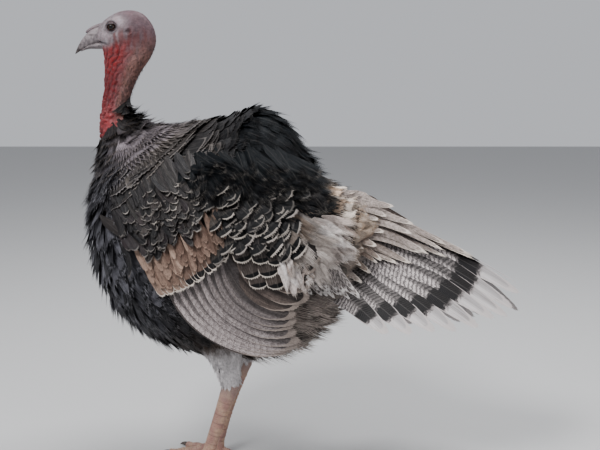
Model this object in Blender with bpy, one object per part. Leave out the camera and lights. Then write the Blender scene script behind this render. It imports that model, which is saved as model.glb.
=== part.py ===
"""A life-size domestic turkey, bronze type, standing still with its tail half fanned and its wings lowered.

Metres, +Z up. The bill points to -X and the bird's left side faces -Y. The origin is on the floor under
the middle of the bounding box. Head, neck, torso and tail base follow one body line, given by a back rail
and a belly rail, and each of them is a loft between stations of that line.
"""

import math
import random

import bmesh
import bpy
import numpy as np
from mathutils import Vector

# Gaps and thicknesses
GAP = 0.0003
VANE_THICKNESS = 0.0008
CHANCE = random.Random(11)
VARIATION = 0.025
VANE_STEP = 0.0002
MANY_FACES = 1500

# The body line: (back x, back z, belly x, belly z, half width, how much wider low down)
BODY_LINE = [
    (-0.3075, 0.7030, -0.3015, 0.6790, 0.0100, 0.00),
    (-0.2930, 0.7180, -0.2990, 0.6750, 0.0160, 0.00),
    (-0.2690, 0.7300, -0.2980, 0.6710, 0.0190, 0.02),
    (-0.2430, 0.7285, -0.2970, 0.6670, 0.0205, 0.04),
    (-0.2240, 0.7110, -0.2965, 0.6610, 0.0210, 0.04),
    (-0.2180, 0.6870, -0.2965, 0.6520, 0.0200, 0.04),
    (-0.2260, 0.6630, -0.2965, 0.6420, 0.0180, 0.02),
    (-0.2420, 0.6400, -0.2965, 0.6280, 0.0160, 0.00),
    (-0.2550, 0.6140, -0.2970, 0.6060, 0.0150, 0.00),
    (-0.2610, 0.5930, -0.3005, 0.5850, 0.0170, 0.00),
    (-0.2580, 0.5780, -0.3050, 0.5580, 0.0240, 0.00),
    (-0.2430, 0.5680, -0.3080, 0.5270, 0.0380, 0.02),
    (-0.2220, 0.5620, -0.3150, 0.4800, 0.0620, 0.04),
    (-0.1920, 0.5600, -0.3255, 0.4150, 0.0940, 0.08),
    (-0.1550, 0.5640, -0.3185, 0.3400, 0.1200, 0.12),
    (-0.1100, 0.5720, -0.2870, 0.2780, 0.1360, 0.14),
    (-0.0650, 0.5860, -0.2350, 0.2300, 0.1430, 0.15),
    (-0.0220, 0.5640, -0.1680, 0.2040, 0.1400, 0.15),
    (0.0120, 0.5130, -0.0950, 0.2000, 0.1280, 0.14),
    (0.0440, 0.4750, -0.0240, 0.2160, 0.1100, 0.10),
    (0.0770, 0.4540, 0.0320, 0.2580, 0.0860, 0.06),
    (0.1080, 0.4370, 0.0740, 0.3170, 0.0580, 0.02),
    (0.1280, 0.4230, 0.1010, 0.3660, 0.0360, 0.00),
]
HEAD_END, NECK_END, TORSO_END, TAIL_BASE_END = 6.6, 10.4, 20.9, 22.0
TORSO_SIDES, TORSO_RINGS = 24, 20
HEAD_SIDES, HEAD_RINGS = 20, 13

# Head
EYE_AT = Vector((-0.2820, 0.0128, 0.7060))
EYE_RADIUS = 0.0064
LID_RADIUS, LID_THICKNESS, LID_OUT = 0.0066, 0.0019, 0.0034
EAR_AT, EAR_RADIUS = Vector((-0.2560, 0.0215, 0.6990)), 0.0042
NOSTRIL_AT, NOSTRIL_SIZE = Vector((-0.3145, 0.0070, 0.6930)), Vector((0.0034, 0.0026, 0.0013))
BILL_TIP, LOWER_BILL_TIP = Vector((-0.3410, 0.0, 0.6675)), Vector((-0.3325, 0.0, 0.6705))
BILL_BASE_TOP, BILL_BASE_MOUTH, BILL_BASE_UNDER = 0.7072, 0.6845, 0.6745
BILL_BASE_X, BILL_HALF_WIDTH, BILL_SKIN = -0.2960, 0.0108, 0.0006
CULMEN_BEND, CULMEN_ROUND = 2.3, 0.88
BILL_STATIONS = (0.0, 0.14, 0.3, 0.48, 0.66, 0.82, 0.94, 1.0)
SNOOD_ROOT, SNOOD_TIP, SNOOD_RADIUS = Vector((-0.2980, 0.0, 0.7085)), Vector((-0.3230, 0.0, 0.6985)), 0.0038

# Neck skin
CARUNCLE_TOP, CARUNCLE_FOOT, CARUNCLE_RADIUS = 8.4, 10.2, 0.0052
DEWLAP_TOP, DEWLAP_FOOT, DEWLAP_DEPTH, DEWLAP_THICKNESS = HEAD_END + 0.1, 9.4, 0.0024, 0.0028
SKIN_FOLDS, SKIN_FOLD_RADIUS = 3, 0.0028

# Wing: a shell over the body's side, from which its feathers' places are read, as (x, z)
WING_SHELL_MID, WING_SHELL_X, WING_SHELL_Y = Vector((-0.085, 0.385)), 0.300, 0.163
WING_SHELL_UP, WING_SHELL_DOWN = 0.190, 0.330
WING_PAD_MID, WING_PAD_LONG, WING_PAD_HIGH = Vector((-0.105, 0.410)), 0.128, 0.075
WING_PAD_TURN, WING_PAD_DEEP, WING_PAD_PROUD = math.radians(-12), 0.045, 0.003
# Rows of vanes from the lowest layer up: name, count, first and last root, first and last tip,
# how far the first and last bow down as a share of their length, width, lift at root and tip,
# and whether they are long blades
WING_ROWS = (
    ("primary", 4, (-0.176, 0.378), (-0.200, 0.372), (-0.006, 0.262), (-0.034, 0.242),
     0.12, 0.14, 0.026, (-0.0060, -0.0095), True),
    ("secondary", 8, (-0.200, 0.372), (-0.120, 0.378), (-0.0255, 0.236), (-0.004, 0.308),
     0.14, 0.24, 0.038, (-0.0015, -0.0010), True),
    ("tertial", 4, (-0.105, 0.388), (-0.040, 0.420), (0.004, 0.322), (0.040, 0.382),
     0.14, 0.08, 0.040, (-0.0010, 0.0010), True),
    ("greater_covert", 9, (-0.203, 0.398), (-0.128, 0.425), (-0.176, 0.330), (-0.096, 0.386),
     0.03, 0.05, 0.026, (0.0010, 0.0062), False),
    ("inner_covert", 5, (-0.108, 0.448), (-0.072, 0.374), (-0.066, 0.412), (-0.026, 0.338),
     0.04, 0.06, 0.032, (0.0010, 0.0075), False),
    ("median_covert", 7, (-0.203, 0.412), (-0.045, 0.446), (-0.180, 0.362), (-0.006, 0.412),
     0.03, 0.03, 0.032, (0.0015, 0.0100), False),
    ("lesser_covert", 6, (-0.196, 0.426), (-0.050, 0.456), (-0.178, 0.390), (-0.018, 0.436),
     0.02, 0.02, 0.032, (0.0015, 0.0128), False),
)

# Tail: rectrices side by side from a ridge at the pivot, roofed down towards both sides
TAIL_PIVOT = Vector((0.078, 0.0, 0.4370))
TAIL_PITCH, TAIL_RIDGE = math.radians(19), 0.10
# Each half: swing of its outer edge, roof slope, how far back, out and down its outer roots lie,
# droop, and the lengths of its middle and outer rectrices
TAIL_LEFT = (math.radians(38), 0.45, 0.070, 0.035, 0.085, 0.50, 0.280, 0.165)
TAIL_RIGHT = (math.radians(26), 0.80, 0.045, 0.035, 0.095, 0.85, 0.280, 0.210)
RECTRIX_PAIRS, RECTRIX_WIDTH = 8, 0.044
# The two tiers of upper coverts: how many on each side, reach, width, and lift at root and tip
UPPER_COVERTS = ((5, 0.165, 0.036, (0.010, 0.0080)), (4, 0.120, 0.036, (0.016, 0.0140)))

# Legs: hip to hock to ankle, as (x, z), for the left leg and for the right
LEG_Y = 0.058
THIGH_STATIONS = (0.0, 0.25, 0.5, 0.72, 0.88, 0.97)
THIGH_RADII = (0.052, 0.050, 0.040, 0.028, 0.0200, 0.0165)
HIP_AT, HOCK_AT, ANKLE_AT = Vector((-0.128, 0.292)), Vector((-0.1070, 0.1700)), Vector((-0.1500, 0.0300))
RIGHT_LEG_BACK = 0.012
SHANK_SIDES, SHANK_RINGS, SCUTE_STEP = 10, 18, 0.0011
TOES = {
    "middle": (math.radians(180), 0.080, 0.0088),
    "inner": (math.radians(146), 0.062, 0.0080),
    "outer": (math.radians(214), 0.064, 0.0080),
    "hind": (math.radians(8), 0.034, 0.0068),
}
CLAW_LENGTH = 0.0155

BLACK = (0.020, 0.019, 0.022)
COLOURS = {
    "skin": ((0.36, 0.33, 0.37), 0.55),
    "red_skin": ((0.46, 0.05, 0.06), 0.5),
    "horn": ((0.16, 0.14, 0.13), 0.4),
    "eye": ((0.03, 0.015, 0.01), 0.1),
    "black_feather": (BLACK, 0.6),
    "wing_feather": ((0.26, 0.19, 0.15), 0.65),
    "tail_feather": ((0.30, 0.25, 0.22), 0.65),
    "shank": ((0.40, 0.28, 0.25), 0.55),
}


def clear_scene():
    for obj in list(bpy.data.objects):
        bpy.data.objects.remove(obj, do_unlink=True)


def new_collection(name):
    found = bpy.data.collections.new(name)
    bpy.context.scene.collection.children.link(found)
    return found


def make_material(name):
    colour, roughness = COLOURS[name]
    material = bpy.data.materials.new(name)
    material.use_nodes = True
    shader = material.node_tree.nodes["Principled BSDF"]
    shader.inputs["Base Color"].default_value = (*colour, 1)
    shader.inputs["Roughness"].default_value = roughness
    shader.inputs["Metallic"].default_value = 0.0
    return material


def object_from_bmesh(name, shape, collection):
    """A new object of the faces in shape, turned to face out."""
    bmesh.ops.recalc_face_normals(shape, faces=shape.faces)
    mesh = bpy.data.meshes.new(name)
    shape.to_mesh(mesh)
    shape.free()
    obj = bpy.data.objects.new(name, mesh)
    collection.objects.link(obj)
    return obj


def loft(name, rings, collection, inflate=0.0):
    """A closed skin over rings of equally many points, with a flat cap at each end."""
    shape = bmesh.new()
    rows = [[shape.verts.new(point) for point in ring] for ring in rings]
    for row, after in zip(rows, rows[1:]):
        for k in range(len(row)):
            n = (k + 1) % len(row)
            shape.faces.new((row[k], row[n], after[n], after[k]))
    shape.faces.new(rows[0])
    shape.faces.new(rows[-1])
    bmesh.ops.recalc_face_normals(shape, faces=shape.faces)
    if inflate:
        shape.normal_update()
        for vert in shape.verts:
            vert.co += vert.normal * inflate
    return object_from_bmesh(name, shape, collection)


def ellipsoid(name, centre, radii, collection, segments=10, rings=6, turn=None):
    """A UV sphere scaled to radii, and turned by a rotation matrix if one is given."""
    shape = bmesh.new()
    bmesh.ops.create_uvsphere(shape, u_segments=segments, v_segments=rings, radius=1.0)
    for vert in shape.verts:
        point = Vector((vert.co.x * radii[0], vert.co.y * radii[1], vert.co.z * radii[2]))
        vert.co = (turn @ point if turn else point) + centre
    return object_from_bmesh(name, shape, collection)


def solid_with(obj, operation, other):
    """obj after one Boolean with another object, or with a whole collection, whose objects are then removed.
    A whole collection of thin vanes takes the MANIFOLD solver, which is the faster one."""
    modifier = obj.modifiers.new("join", "BOOLEAN")
    modifier.operation = operation
    whole_collection = isinstance(other, bpy.types.Collection)
    modifier.solver = "MANIFOLD" if whole_collection or len(obj.data.polygons) > MANY_FACES else "EXACT"
    modifier.operand_type = "COLLECTION" if whole_collection else "OBJECT"
    setattr(modifier, "collection" if whole_collection else "object", other)
    bpy.context.view_layer.update()
    graph = bpy.context.evaluated_depsgraph_get()
    mesh = bpy.data.meshes.new_from_object(obj.evaluated_get(graph))
    obj.modifiers.clear()
    obj.data = mesh
    if whole_collection:
        for piece in list(other.objects):
            bpy.data.objects.remove(piece, do_unlink=True)
        bpy.data.collections.remove(other)
    keep_largest(obj)
    return obj


def clear_of(obj, neighbour):
    """Cuts obj back to one gap off a neighbour that it grows out of."""
    room = bpy.data.objects.new("room", neighbour.data.copy())
    bpy.context.scene.collection.objects.link(room)
    shape = bmesh.new()
    shape.from_mesh(room.data)
    shape.normal_update()
    for vert in shape.verts:
        vert.co += vert.normal * GAP * 1.2
    shape.to_mesh(room.data)
    shape.free()
    solid_with(obj, "DIFFERENCE", room)
    bpy.data.objects.remove(room, do_unlink=True)


def keep_largest(obj):
    """Leaves only the largest closed surface of obj, which drops sealed hollows and loose scraps."""
    shape = bmesh.new()
    shape.from_mesh(obj.data)
    bmesh.ops.triangulate(shape, faces=shape.faces)
    unseen, groups = set(shape.verts), []
    while unseen:
        stack, group = [unseen.pop()], []
        while stack:
            vert = stack.pop()
            group.append(vert)
            for edge in vert.link_edges:
                other = edge.other_vert(vert)
                if other in unseen:
                    unseen.remove(other)
                    stack.append(other)
        groups.append(group)
    groups.sort(key=lambda group: sum(face.calc_area() for vert in group for face in vert.link_faces))
    dropped = [vert for group in groups[:-1] for vert in group]
    bmesh.ops.delete(shape, geom=dropped, context="VERTS")
    shape.to_mesh(obj.data)
    shape.free()


def finish_node(obj, parts, material):
    """Puts obj among the parts, with its material and smooth shading."""
    for collection in list(obj.users_collection):
        collection.objects.unlink(obj)
    parts.objects.link(obj)
    obj.data.materials.clear()
    obj.data.materials.append(material)
    obj.data.shade_smooth()
    obj.data.set_sharp_from_angle(angle=math.radians(40))
    return obj


def along(table, u):
    """The row of a table of numbers at the fractional row u, on a smooth curve through its rows."""
    rows = np.array(table, float)
    k = int(min(max(math.floor(u), 0), len(rows) - 2))
    t = u - k
    before, a, b, after = rows[max(k - 1, 0)], rows[k], rows[k + 1], rows[min(k + 2, len(rows) - 1)]
    slope_a, slope_b = (b - before) / 2, (after - a) / 2
    t2, t3 = t * t, t * t * t
    ends = (2 * t3 - 3 * t2 + 1) * a + (3 * t2 - 2 * t3) * b
    return ends + (t3 - 2 * t2 + t) * slope_a + (t3 - t2) * slope_b


def body_point(u, v, shift=0.0):
    """A point of the body line's skin: u is the station and v the angle, 0 on the back, pi on the belly."""
    back_x, back_z, belly_x, belly_z, half_width, low = along(BODY_LINE, u)
    back, belly = Vector((back_x, 0, back_z)), Vector((belly_x, 0, belly_z))
    half_height = (back - belly) / 2
    side = -half_width * math.sin(v) * (1 - low * math.cos(v))
    square_to = Vector((half_height.z, 0, -half_height.x)).normalized()
    return (back + belly) / 2 + half_height * math.cos(v) + Vector((0, side, 0)) + square_to * shift


def body_ring(u, sides, shift=0.0):
    return [body_point(u, 2 * math.pi * k / sides, shift) for k in range(sides)]


def body_length(name, start, end, sides, rings, collection, inflate=0.0):
    """A stretch of the body line as a closed loft, half a gap short of each end."""
    stations = np.linspace(start, end, rings)
    shifts = [GAP / 2] + [0.0] * (rings - 2) + [-GAP / 2]
    made = [body_ring(u, sides, shift) for u, shift in zip(stations, shifts)]
    return loft(name, made, collection, inflate)


def torso_length(name, collection, inflate=0.0):
    return body_length(name, NECK_END, TORSO_END, TORSO_SIDES, TORSO_RINGS, collection, inflate)


def swept(name, centres, radii, collection, sides=10, flat=1.0, end_level=False, front_step=None):
    """A tube along centres in an XZ plane. Each ring is an ellipse, flat times as wide across Y as it is
    deep. front_step adds a height to each ring's front half, and end_level makes the last ring horizontal."""
    rings = []
    last = len(centres) - 1
    for k, (centre, radius) in enumerate(zip(centres, radii)):
        direction = (centres[min(k + 1, last)] - centres[max(k - 1, 0)]).normalized()
        if end_level and k == last:
            direction = Vector((0, 0, -1))
        deep = direction.cross(Vector((0, 1, 0))).normalized()
        ring = []
        for n in range(sides):
            angle = 2 * math.pi * n / sides
            raised = front_step[k] * max(math.cos(angle), 0) if front_step else 0.0
            ring.append(centre + deep * (radius + raised) * math.cos(angle)
                        + Vector((0, 1, 0)) * radius * flat * math.sin(angle))
        rings.append(ring)
    return loft(name, rings, collection)


LONG_BLADE = ((0.0, 0.24), (0.30, 0.74), (0.68, 1.0), (0.93, 0.86), (1.0, 0.34))
SHORT_BLADE = ((0.0, 0.35), (0.45, 0.92), (0.86, 0.92), (1.0, 0.36))


def blade(name, shaft, across, width, collection, outline=LONG_BLADE, thickness=VANE_THICKNESS):
    """A feather's vane: a thin tapered plate whose shaft and cross direction are functions of 0 to 1.
    Both its faces are split into triangles alike, so they stay apart where the vane bends."""
    shape = bmesh.new()
    rows = []
    for t, share in outline:
        centre, over = shaft(t), across(t)
        forward = (shaft(min(t + 0.01, 1.0)) - shaft(max(t - 0.01, 0.0))).normalized()
        up = over.cross(forward).normalized() * thickness / 2
        side = over * width * share / 2
        corners = (centre - side + up, centre + side + up, centre + side - up, centre - side - up)
        rows.append([shape.verts.new(corner) for corner in corners])
    for row, after in zip(rows, rows[1:]):
        for a, b in ((0, 1), (3, 2), (1, 2), (0, 3)):
            shape.faces.new((row[a], row[b], after[b]))
            shape.faces.new((row[a], after[b], after[a]))
    shape.faces.new(rows[0])
    shape.faces.new(rows[-1])
    return object_from_bmesh(name, shape, collection)


def make_head(parts, materials, cutters):
    """The head's skin with its sockets, lids, nostrils, ears and mouth corners, then eyes, snood and bill."""
    extras = new_collection("head_extras")
    for side in (-1, 1):
        eye = Vector((EYE_AT.x, EYE_AT.y * side, EYE_AT.z))
        lid_turn = (math.radians(90), 0, math.radians(10) * side)
        bpy.ops.mesh.primitive_torus_add(
            major_segments=14, minor_segments=5, major_radius=LID_RADIUS, minor_radius=LID_THICKNESS,
            location=eye + Vector((0, LID_OUT * side, 0)), rotation=lid_turn)
        lid = bpy.context.object
        lid.data.transform(lid.matrix_world)
        lid.matrix_world.identity()
        lid.users_collection[0].objects.unlink(lid)
        extras.objects.link(lid)
        brow = eye + Vector((0.001, 0.0004 * side, 0.0064))
        ellipsoid("brow", brow, (0.0115, 0.0042, 0.0034), extras, 8, 5)
        ear = Vector((EAR_AT.x, EAR_AT.y * side, EAR_AT.z))
        ellipsoid("ear_rim", ear - Vector((0, 0.0025 * side, 0)), (0.0068, 0.0040, 0.0060), extras, 10, 5)
    head = solid_with(head_length("head", parts), "UNION", extras)
    for side in (-1, 1):
        eye = Vector((EYE_AT.x, EYE_AT.y * side, EYE_AT.z))
        socket = ellipsoid("socket", eye, (EYE_RADIUS + GAP,) * 3, cutters, 14, 9)
        ear = Vector((EAR_AT.x, EAR_AT.y * side, EAR_AT.z))
        cup_radii = (EAR_RADIUS, EAR_RADIUS, EAR_RADIUS * 0.85)
        cup = ellipsoid("ear_cup", ear + Vector((0, 0.0006 * side, 0)), cup_radii, cutters)
        for cutter in (socket, cup):
            solid_with(head, "DIFFERENCE", cutter)
            bpy.data.objects.remove(cutter, do_unlink=True)
        name = "eye_left" if side < 0 else "eye_right"
        finish_node(ellipsoid(name, eye, (EYE_RADIUS,) * 3, parts, 14, 9), parts, materials["eye"])
    finish_node(head, parts, materials["skin"])
    make_bill(parts, materials, cutters)
    make_snood(parts, materials, cutters)


def bill_rings(top, bottom, tip, sides=12):
    """The rings of one mandible from its base to its tip: top and bottom are its heights at the base."""
    rings = []
    angles = [2 * math.pi * k / sides for k in range(sides)]
    for t in BILL_STATIONS:
        x = mix(BILL_BASE_X, tip.x, t)
        high = tip.z + (top - tip.z) * (1 - t ** CULMEN_BEND) ** CULMEN_ROUND + BILL_SKIN
        low = mix(bottom, tip.z, t) - BILL_SKIN
        half = BILL_HALF_WIDTH * (1 - t) ** 0.55 + BILL_SKIN
        middle, tall = (high + low) / 2, (high - low) / 2
        rings.append([Vector((x, half * math.sin(a), middle + tall * math.cos(a))) for a in angles])
    return rings


def upper_bill(name, collection, inflate=0.0):
    return loft(name, bill_rings(BILL_BASE_TOP, BILL_BASE_MOUTH + 0.001, BILL_TIP), collection, inflate)


def head_length(name, collection, inflate=0.0):
    return body_length(name, 0.0, HEAD_END, HEAD_SIDES, HEAD_RINGS, collection, inflate)


def make_bill(parts, materials, cutters):
    """Two horny mandibles that part along the mouth line and grow out of the head.
    The nostrils pierce the upper one."""
    upper = upper_bill("bill_upper", parts)
    lower = loft("bill_lower", bill_rings(BILL_BASE_MOUTH, BILL_BASE_UNDER, LOWER_BILL_TIP), parts)
    head_room = head_length("head_room", cutters, GAP)
    upper_room = upper_bill("upper_room", cutters, GAP)
    solid_with(upper, "DIFFERENCE", head_room)
    solid_with(lower, "DIFFERENCE", head_room)
    solid_with(lower, "DIFFERENCE", upper_room)
    for side in (-1, 1):
        place = Vector((NOSTRIL_AT.x, NOSTRIL_AT.y * side, NOSTRIL_AT.z))
        nostril = ellipsoid("nostril", place, NOSTRIL_SIZE, cutters, 8, 6)
        solid_with(upper, "DIFFERENCE", nostril)
        bpy.data.objects.remove(nostril, do_unlink=True)
    for obj in (upper, lower):
        finish_node(obj, parts, materials["horn"])
    for cutter in (head_room, upper_room):
        bpy.data.objects.remove(cutter, do_unlink=True)


def make_snood(parts, materials, cutters):
    """The short fleshy snood, which lies forward over the base of the bill."""
    steps = [k / 6 for k in range(7)]
    centres = [SNOOD_ROOT.lerp(SNOOD_TIP, t) + Vector((0, 0, 0.0018 * math.sin(math.pi * t))) for t in steps]
    radii = [SNOOD_RADIUS * (1 - t) ** 0.45 + 0.0009 for t in steps]
    snood = swept("snood", centres, radii, parts, sides=8)
    for cutter in (head_length("head_room", cutters, GAP), upper_bill("bill_room", cutters, GAP)):
        solid_with(snood, "DIFFERENCE", cutter)
        bpy.data.objects.remove(cutter, do_unlink=True)
    finish_node(snood, parts, materials["red_skin"])


def make_neck(parts, materials):
    """The bare neck, with the dewlap's fold down its front and a cluster of round caruncles at its foot."""
    extras = new_collection("neck_extras")
    rings = []
    for t in np.linspace(0, 1, 8):
        u = DEWLAP_TOP + (DEWLAP_FOOT - DEWLAP_TOP) * t
        front = body_point(u, math.pi)
        deep = DEWLAP_DEPTH * (0.1 + math.sin(math.pi * t) ** 0.7)
        angles = np.linspace(0, 2 * math.pi, 8, endpoint=False)
        across = [(-deep * math.cos(a) + 0.002, DEWLAP_THICKNESS * math.sin(a), -0.0022 * t) for a in angles]
        rings.append([front + Vector(offset) for offset in across])
    loft("dewlap", rings, extras)
    for side in (-1, 1):
        for k in range(SKIN_FOLDS):
            make_skin_fold(side, k, extras)
    rows = 5
    for row in range(rows):
        u = CARUNCLE_TOP + (CARUNCLE_FOOT - CARUNCLE_TOP) * row / (rows - 1)
        spread = 0.50 + 0.14 * row
        for k in range(-1 - row % 2, 2):
            offset = 0.5 if row % 2 else 0.0
            place = body_point(u, math.pi + (k + offset) * spread / 2)
            size = CARUNCLE_RADIUS * (0.62 + 0.07 * row + 0.09 * math.sin(5 * row + 3 * k))
            ellipsoid("caruncle", place, (size, size * 0.95, size * 1.1), extras, 7, 5)
    neck = solid_with(body_length("neck", HEAD_END, NECK_END, 20, 9, parts), "UNION", extras)
    top_room = end_slab("top_room", HEAD_END, -1)
    foot_room = end_slab("foot_room", NECK_END, 1)
    for cutter in (top_room, foot_room):
        solid_with(neck, "DIFFERENCE", cutter)
        bpy.data.objects.remove(cutter, do_unlink=True)
    finish_node(neck, parts, materials["red_skin"])


def make_skin_fold(side, number, extras):
    """A soft fold that runs from behind the jaw down and forward over the neck's side."""
    centres = []
    for t in np.linspace(0, 1, 6):
        u = HEAD_END + 0.25 + number * 0.55 + 1.5 * t
        v = math.pi * (0.52 + 0.05 * number + 0.36 * t)
        centres.append(body_point(u, side * -v))
    rings = []
    for k, centre in enumerate(centres):
        before, after = centres[max(k - 1, 0)], centres[min(k + 1, len(centres) - 1)]
        direction = (after - before).normalized()
        out = Vector((0, side, 0))
        over = direction.cross(out).normalized()
        out = over.cross(direction).normalized()
        out = out if out.y * side > 0 else -out
        size = SKIN_FOLD_RADIUS * math.sin(math.pi * (0.12 + 0.76 * k / (len(centres) - 1)))
        angles = [2 * math.pi * n / 7 for n in range(7)]
        rings.append([centre + over * size * math.cos(a) + out * size * 0.8 * math.sin(a) for a in angles])
    loft("skin_fold", rings, extras)


def end_slab(name, u, way):
    """A slab just past the flat end of a stretch of the body line. It trims what was fused past that end."""
    back, belly = body_point(u, 0), body_point(u, math.pi)
    middle, tall = (back + belly) / 2, (back - belly).normalized()
    square_to = Vector((tall.z, 0, -tall.x)) * way
    reach, deep = 0.06, 0.03
    near = middle + square_to * (-GAP / 2)
    rings = []
    for shift in (0.0, deep):
        centre = near + square_to * shift
        corners = ((1, 1), (1, -1), (-1, -1), (-1, 1))
        rings.append([centre + tall * reach * a + Vector((0, reach * b, 0)) for a, b in corners])
    return loft(name, rings, bpy.context.scene.collection)


def wing_shell(place, lift=0.0, side=-1):
    """The point over (x, z) on the shell that the wing's feathers follow, lifted along its normal."""
    dx = (place.x - WING_SHELL_MID.x) / WING_SHELL_X
    dz = (place.y - WING_SHELL_MID.y) / (WING_SHELL_UP if place.y > WING_SHELL_MID.y else WING_SHELL_DOWN)
    out = WING_SHELL_Y * math.sqrt(max(1 - dx * dx - dz * dz, 0.04))
    tall = WING_SHELL_UP if place.y > WING_SHELL_MID.y else WING_SHELL_DOWN
    normal = Vector((dx / WING_SHELL_X, out / WING_SHELL_Y ** 2, dz / tall)).normalized()
    point = Vector((place.x, out, place.y)) + normal * lift
    return Vector((point.x, point.y * side, point.z))


def wing_vane(name, root, tip, width, lifts, tilt, bow, side, collection, outline):
    """A wing feather from root to tip, given as (x, z), bowed down by bow.
    Its upper edge lies under the next feather."""
    direction = (tip - root).normalized()
    down = Vector((direction.y, -direction.x))

    def place(t):
        return root.lerp(tip, t) + down * bow * 4 * t * (1 - t)

    def shaft(t):
        return wing_shell(place(t), mix(lifts[0], lifts[1], t), side)

    def across(t):
        here, step = place(t), 0.004
        lift = mix(lifts[0], lifts[1], t)
        low = wing_shell(here + down * step, lift + tilt * step, side)
        high = wing_shell(here - down * step, lift - tilt * step, side)
        return (low - high).normalized()

    return blade(name, shaft, across, width, collection, outline)


def mix(a, b, t):
    return a + (b - a) * t


def varied(length):
    """A length made a little longer or shorter by chance."""
    return length * (1 + CHANCE.uniform(-VARIATION, VARIATION))


def wing_feathers(side, collection):
    """The rows of vanes of one wing, each row laid over the one before it."""
    for name, count, root_a, root_b, tip_a, tip_b, bow_a, bow_b, width, lifts, long in WING_ROWS:
        for k in range(count):
            t = k / (count - 1)
            root = Vector(root_a).lerp(Vector(root_b), t)
            tip = Vector(tip_a).lerp(Vector(tip_b), t)
            tip = root + (tip - root) * varied(1.0)
            bow = mix(bow_a, bow_b, t) * (tip - root).length
            layered = tuple(lift + (k - count / 2) * VANE_STEP for lift in lifts)
            outline = LONG_BLADE if long else SHORT_BLADE
            wing_vane(name, root, tip, width, layered, 0.10, bow, side, collection, outline)


def make_wing(side, parts, materials, cutters):
    """A wing: a pad of muscle on the torso's side, fused with the rows of vanes that grow from it."""
    name = "wing_left" if side < 0 else "wing_right"
    extras = new_collection(name + "_feathers")
    wing_feathers(side, extras)
    rings = []
    layers, around = 6, 16
    for k in range(layers):
        height = math.pi * (k + 0.5) / layers
        spread, rise = math.sin(height), math.cos(height)
        lift = mix(WING_PAD_PROUD, -WING_PAD_DEEP, (1 - rise) / 2)
        ring = []
        for n in range(around):
            angle = 2 * math.pi * n / around
            local = Vector((WING_PAD_LONG * math.cos(angle), WING_PAD_HIGH * math.sin(angle))) * spread
            turned = Vector((local.x * math.cos(WING_PAD_TURN) - local.y * math.sin(WING_PAD_TURN),
                             local.x * math.sin(WING_PAD_TURN) + local.y * math.cos(WING_PAD_TURN)))
            ring.append(wing_shell(WING_PAD_MID + turned, lift, side))
        rings.append(ring)
    wing = solid_with(loft(name, rings, parts), "UNION", extras)
    torso_room = torso_length("torso_room", cutters, 2 * GAP)
    solid_with(wing, "DIFFERENCE", torso_room)
    bpy.data.objects.remove(torso_room, do_unlink=True)
    finish_node(wing, parts, materials["wing_feather"])


def fan_direction(share):
    """The way a tail feather points: share is 0 along the ridge, -1 at the left edge and 1 at the right."""
    swing, roof = (TAIL_LEFT if share <= 0 else TAIL_RIGHT)[:2]
    angle = swing * share
    slope = roof * (math.hypot(math.sin(angle), TAIL_RIDGE) - TAIL_RIDGE)
    flat = math.cos(angle)
    down = flat * math.sin(TAIL_PITCH) + slope
    return Vector((flat * math.cos(TAIL_PITCH), math.sin(angle), -down)).normalized()


def tail_vane(name, share, start, end, width, lift, tilt, collection, outline=LONG_BLADE):
    """A tail feather at a share of the fan, from start to end along it, lifted off the fan's surface."""
    direction = fan_direction(share)
    _, _, back, side, drop, droop, _, _ = TAIL_LEFT if share <= 0 else TAIL_RIGHT
    far = abs(share)
    root = TAIL_PIVOT + Vector((-back * share ** 2, side * share, -drop * far))
    outward = -1 if share < 0 else 1
    out = Vector((0, outward, -0.55 * drop / side if share else 0.0))
    out = (out - direction * out.dot(direction)).normalized()
    up = direction.cross(out) * outward

    def shaft(t):
        reach = mix(start, end, t)
        sag = droop * reach * reach * (1 - 0.5 * far)
        return root + direction * reach - Vector((0, 0, sag)) + up * mix(lift[0], lift[1], t)

    over = (out + up * tilt).normalized()
    return blade(name, shaft, lambda t: over, width, collection, outline)


def make_tail(parts, materials, cutters):
    """The tail base with the fan of rectrices, two tiers of upper coverts and one of under coverts."""
    extras = new_collection("tail_feathers")
    tail_vane("rectrix", 0.0, 0.0, TAIL_LEFT[6], RECTRIX_WIDTH, (0.0005, 0.0040), 0.0, extras)
    for half, side in ((TAIL_LEFT, -1), (TAIL_RIGHT, 1)):
        for k in range(1, RECTRIX_PAIRS + 1):
            t = k / RECTRIX_PAIRS
            reach = mix(half[6], half[7], t ** 2)
            lifts = (0.0, 0.0030 - 0.0010 * k)
            tail_vane("rectrix", side * t, 0.0, varied(reach), RECTRIX_WIDTH, lifts, 0.075, extras)
    for count, reach, width, lifts in UPPER_COVERTS:
        middle_lifts = (lifts[0], lifts[1] + 0.003)
        tail_vane("upper_covert", 0.0, -0.015, reach, width, middle_lifts, 0.0, extras, SHORT_BLADE)
        for side in (-1, 1):
            for k in range(1, count + 1):
                t = k / count
                tail_vane("upper_covert", side * 0.95 * t, -0.015, varied(reach) * mix(1, 0.74, t), width,
                          (lifts[0], lifts[1] - 0.0005 * k), 0.11, extras, SHORT_BLADE)
    for side in (-1, 1):
        for k in range(3):
            tail_vane("under_covert", side * (0.25 + 0.3 * k), 0.0, 0.115 - 0.010 * k, 0.034,
                      (-0.010 - 0.001 * k, -0.0165 - 0.001 * k), -0.05, extras, SHORT_BLADE)
    tail = solid_with(body_length("tail", TORSO_END, TAIL_BASE_END, TORSO_SIDES, 4, parts), "UNION", extras)
    torso_room = torso_length("torso_room", cutters, 2 * GAP)
    solid_with(tail, "DIFFERENCE", torso_room)
    bpy.data.objects.remove(torso_room, do_unlink=True)
    finish_node(tail, parts, materials["tail_feather"])


def leg_point(place, side):
    """A leg's (x, z) place in space, with the right leg a little further back."""
    back = RIGHT_LEG_BACK if side > 0 else 0.0
    return Vector((place.x + back, LEG_Y * side, place.y))


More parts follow.
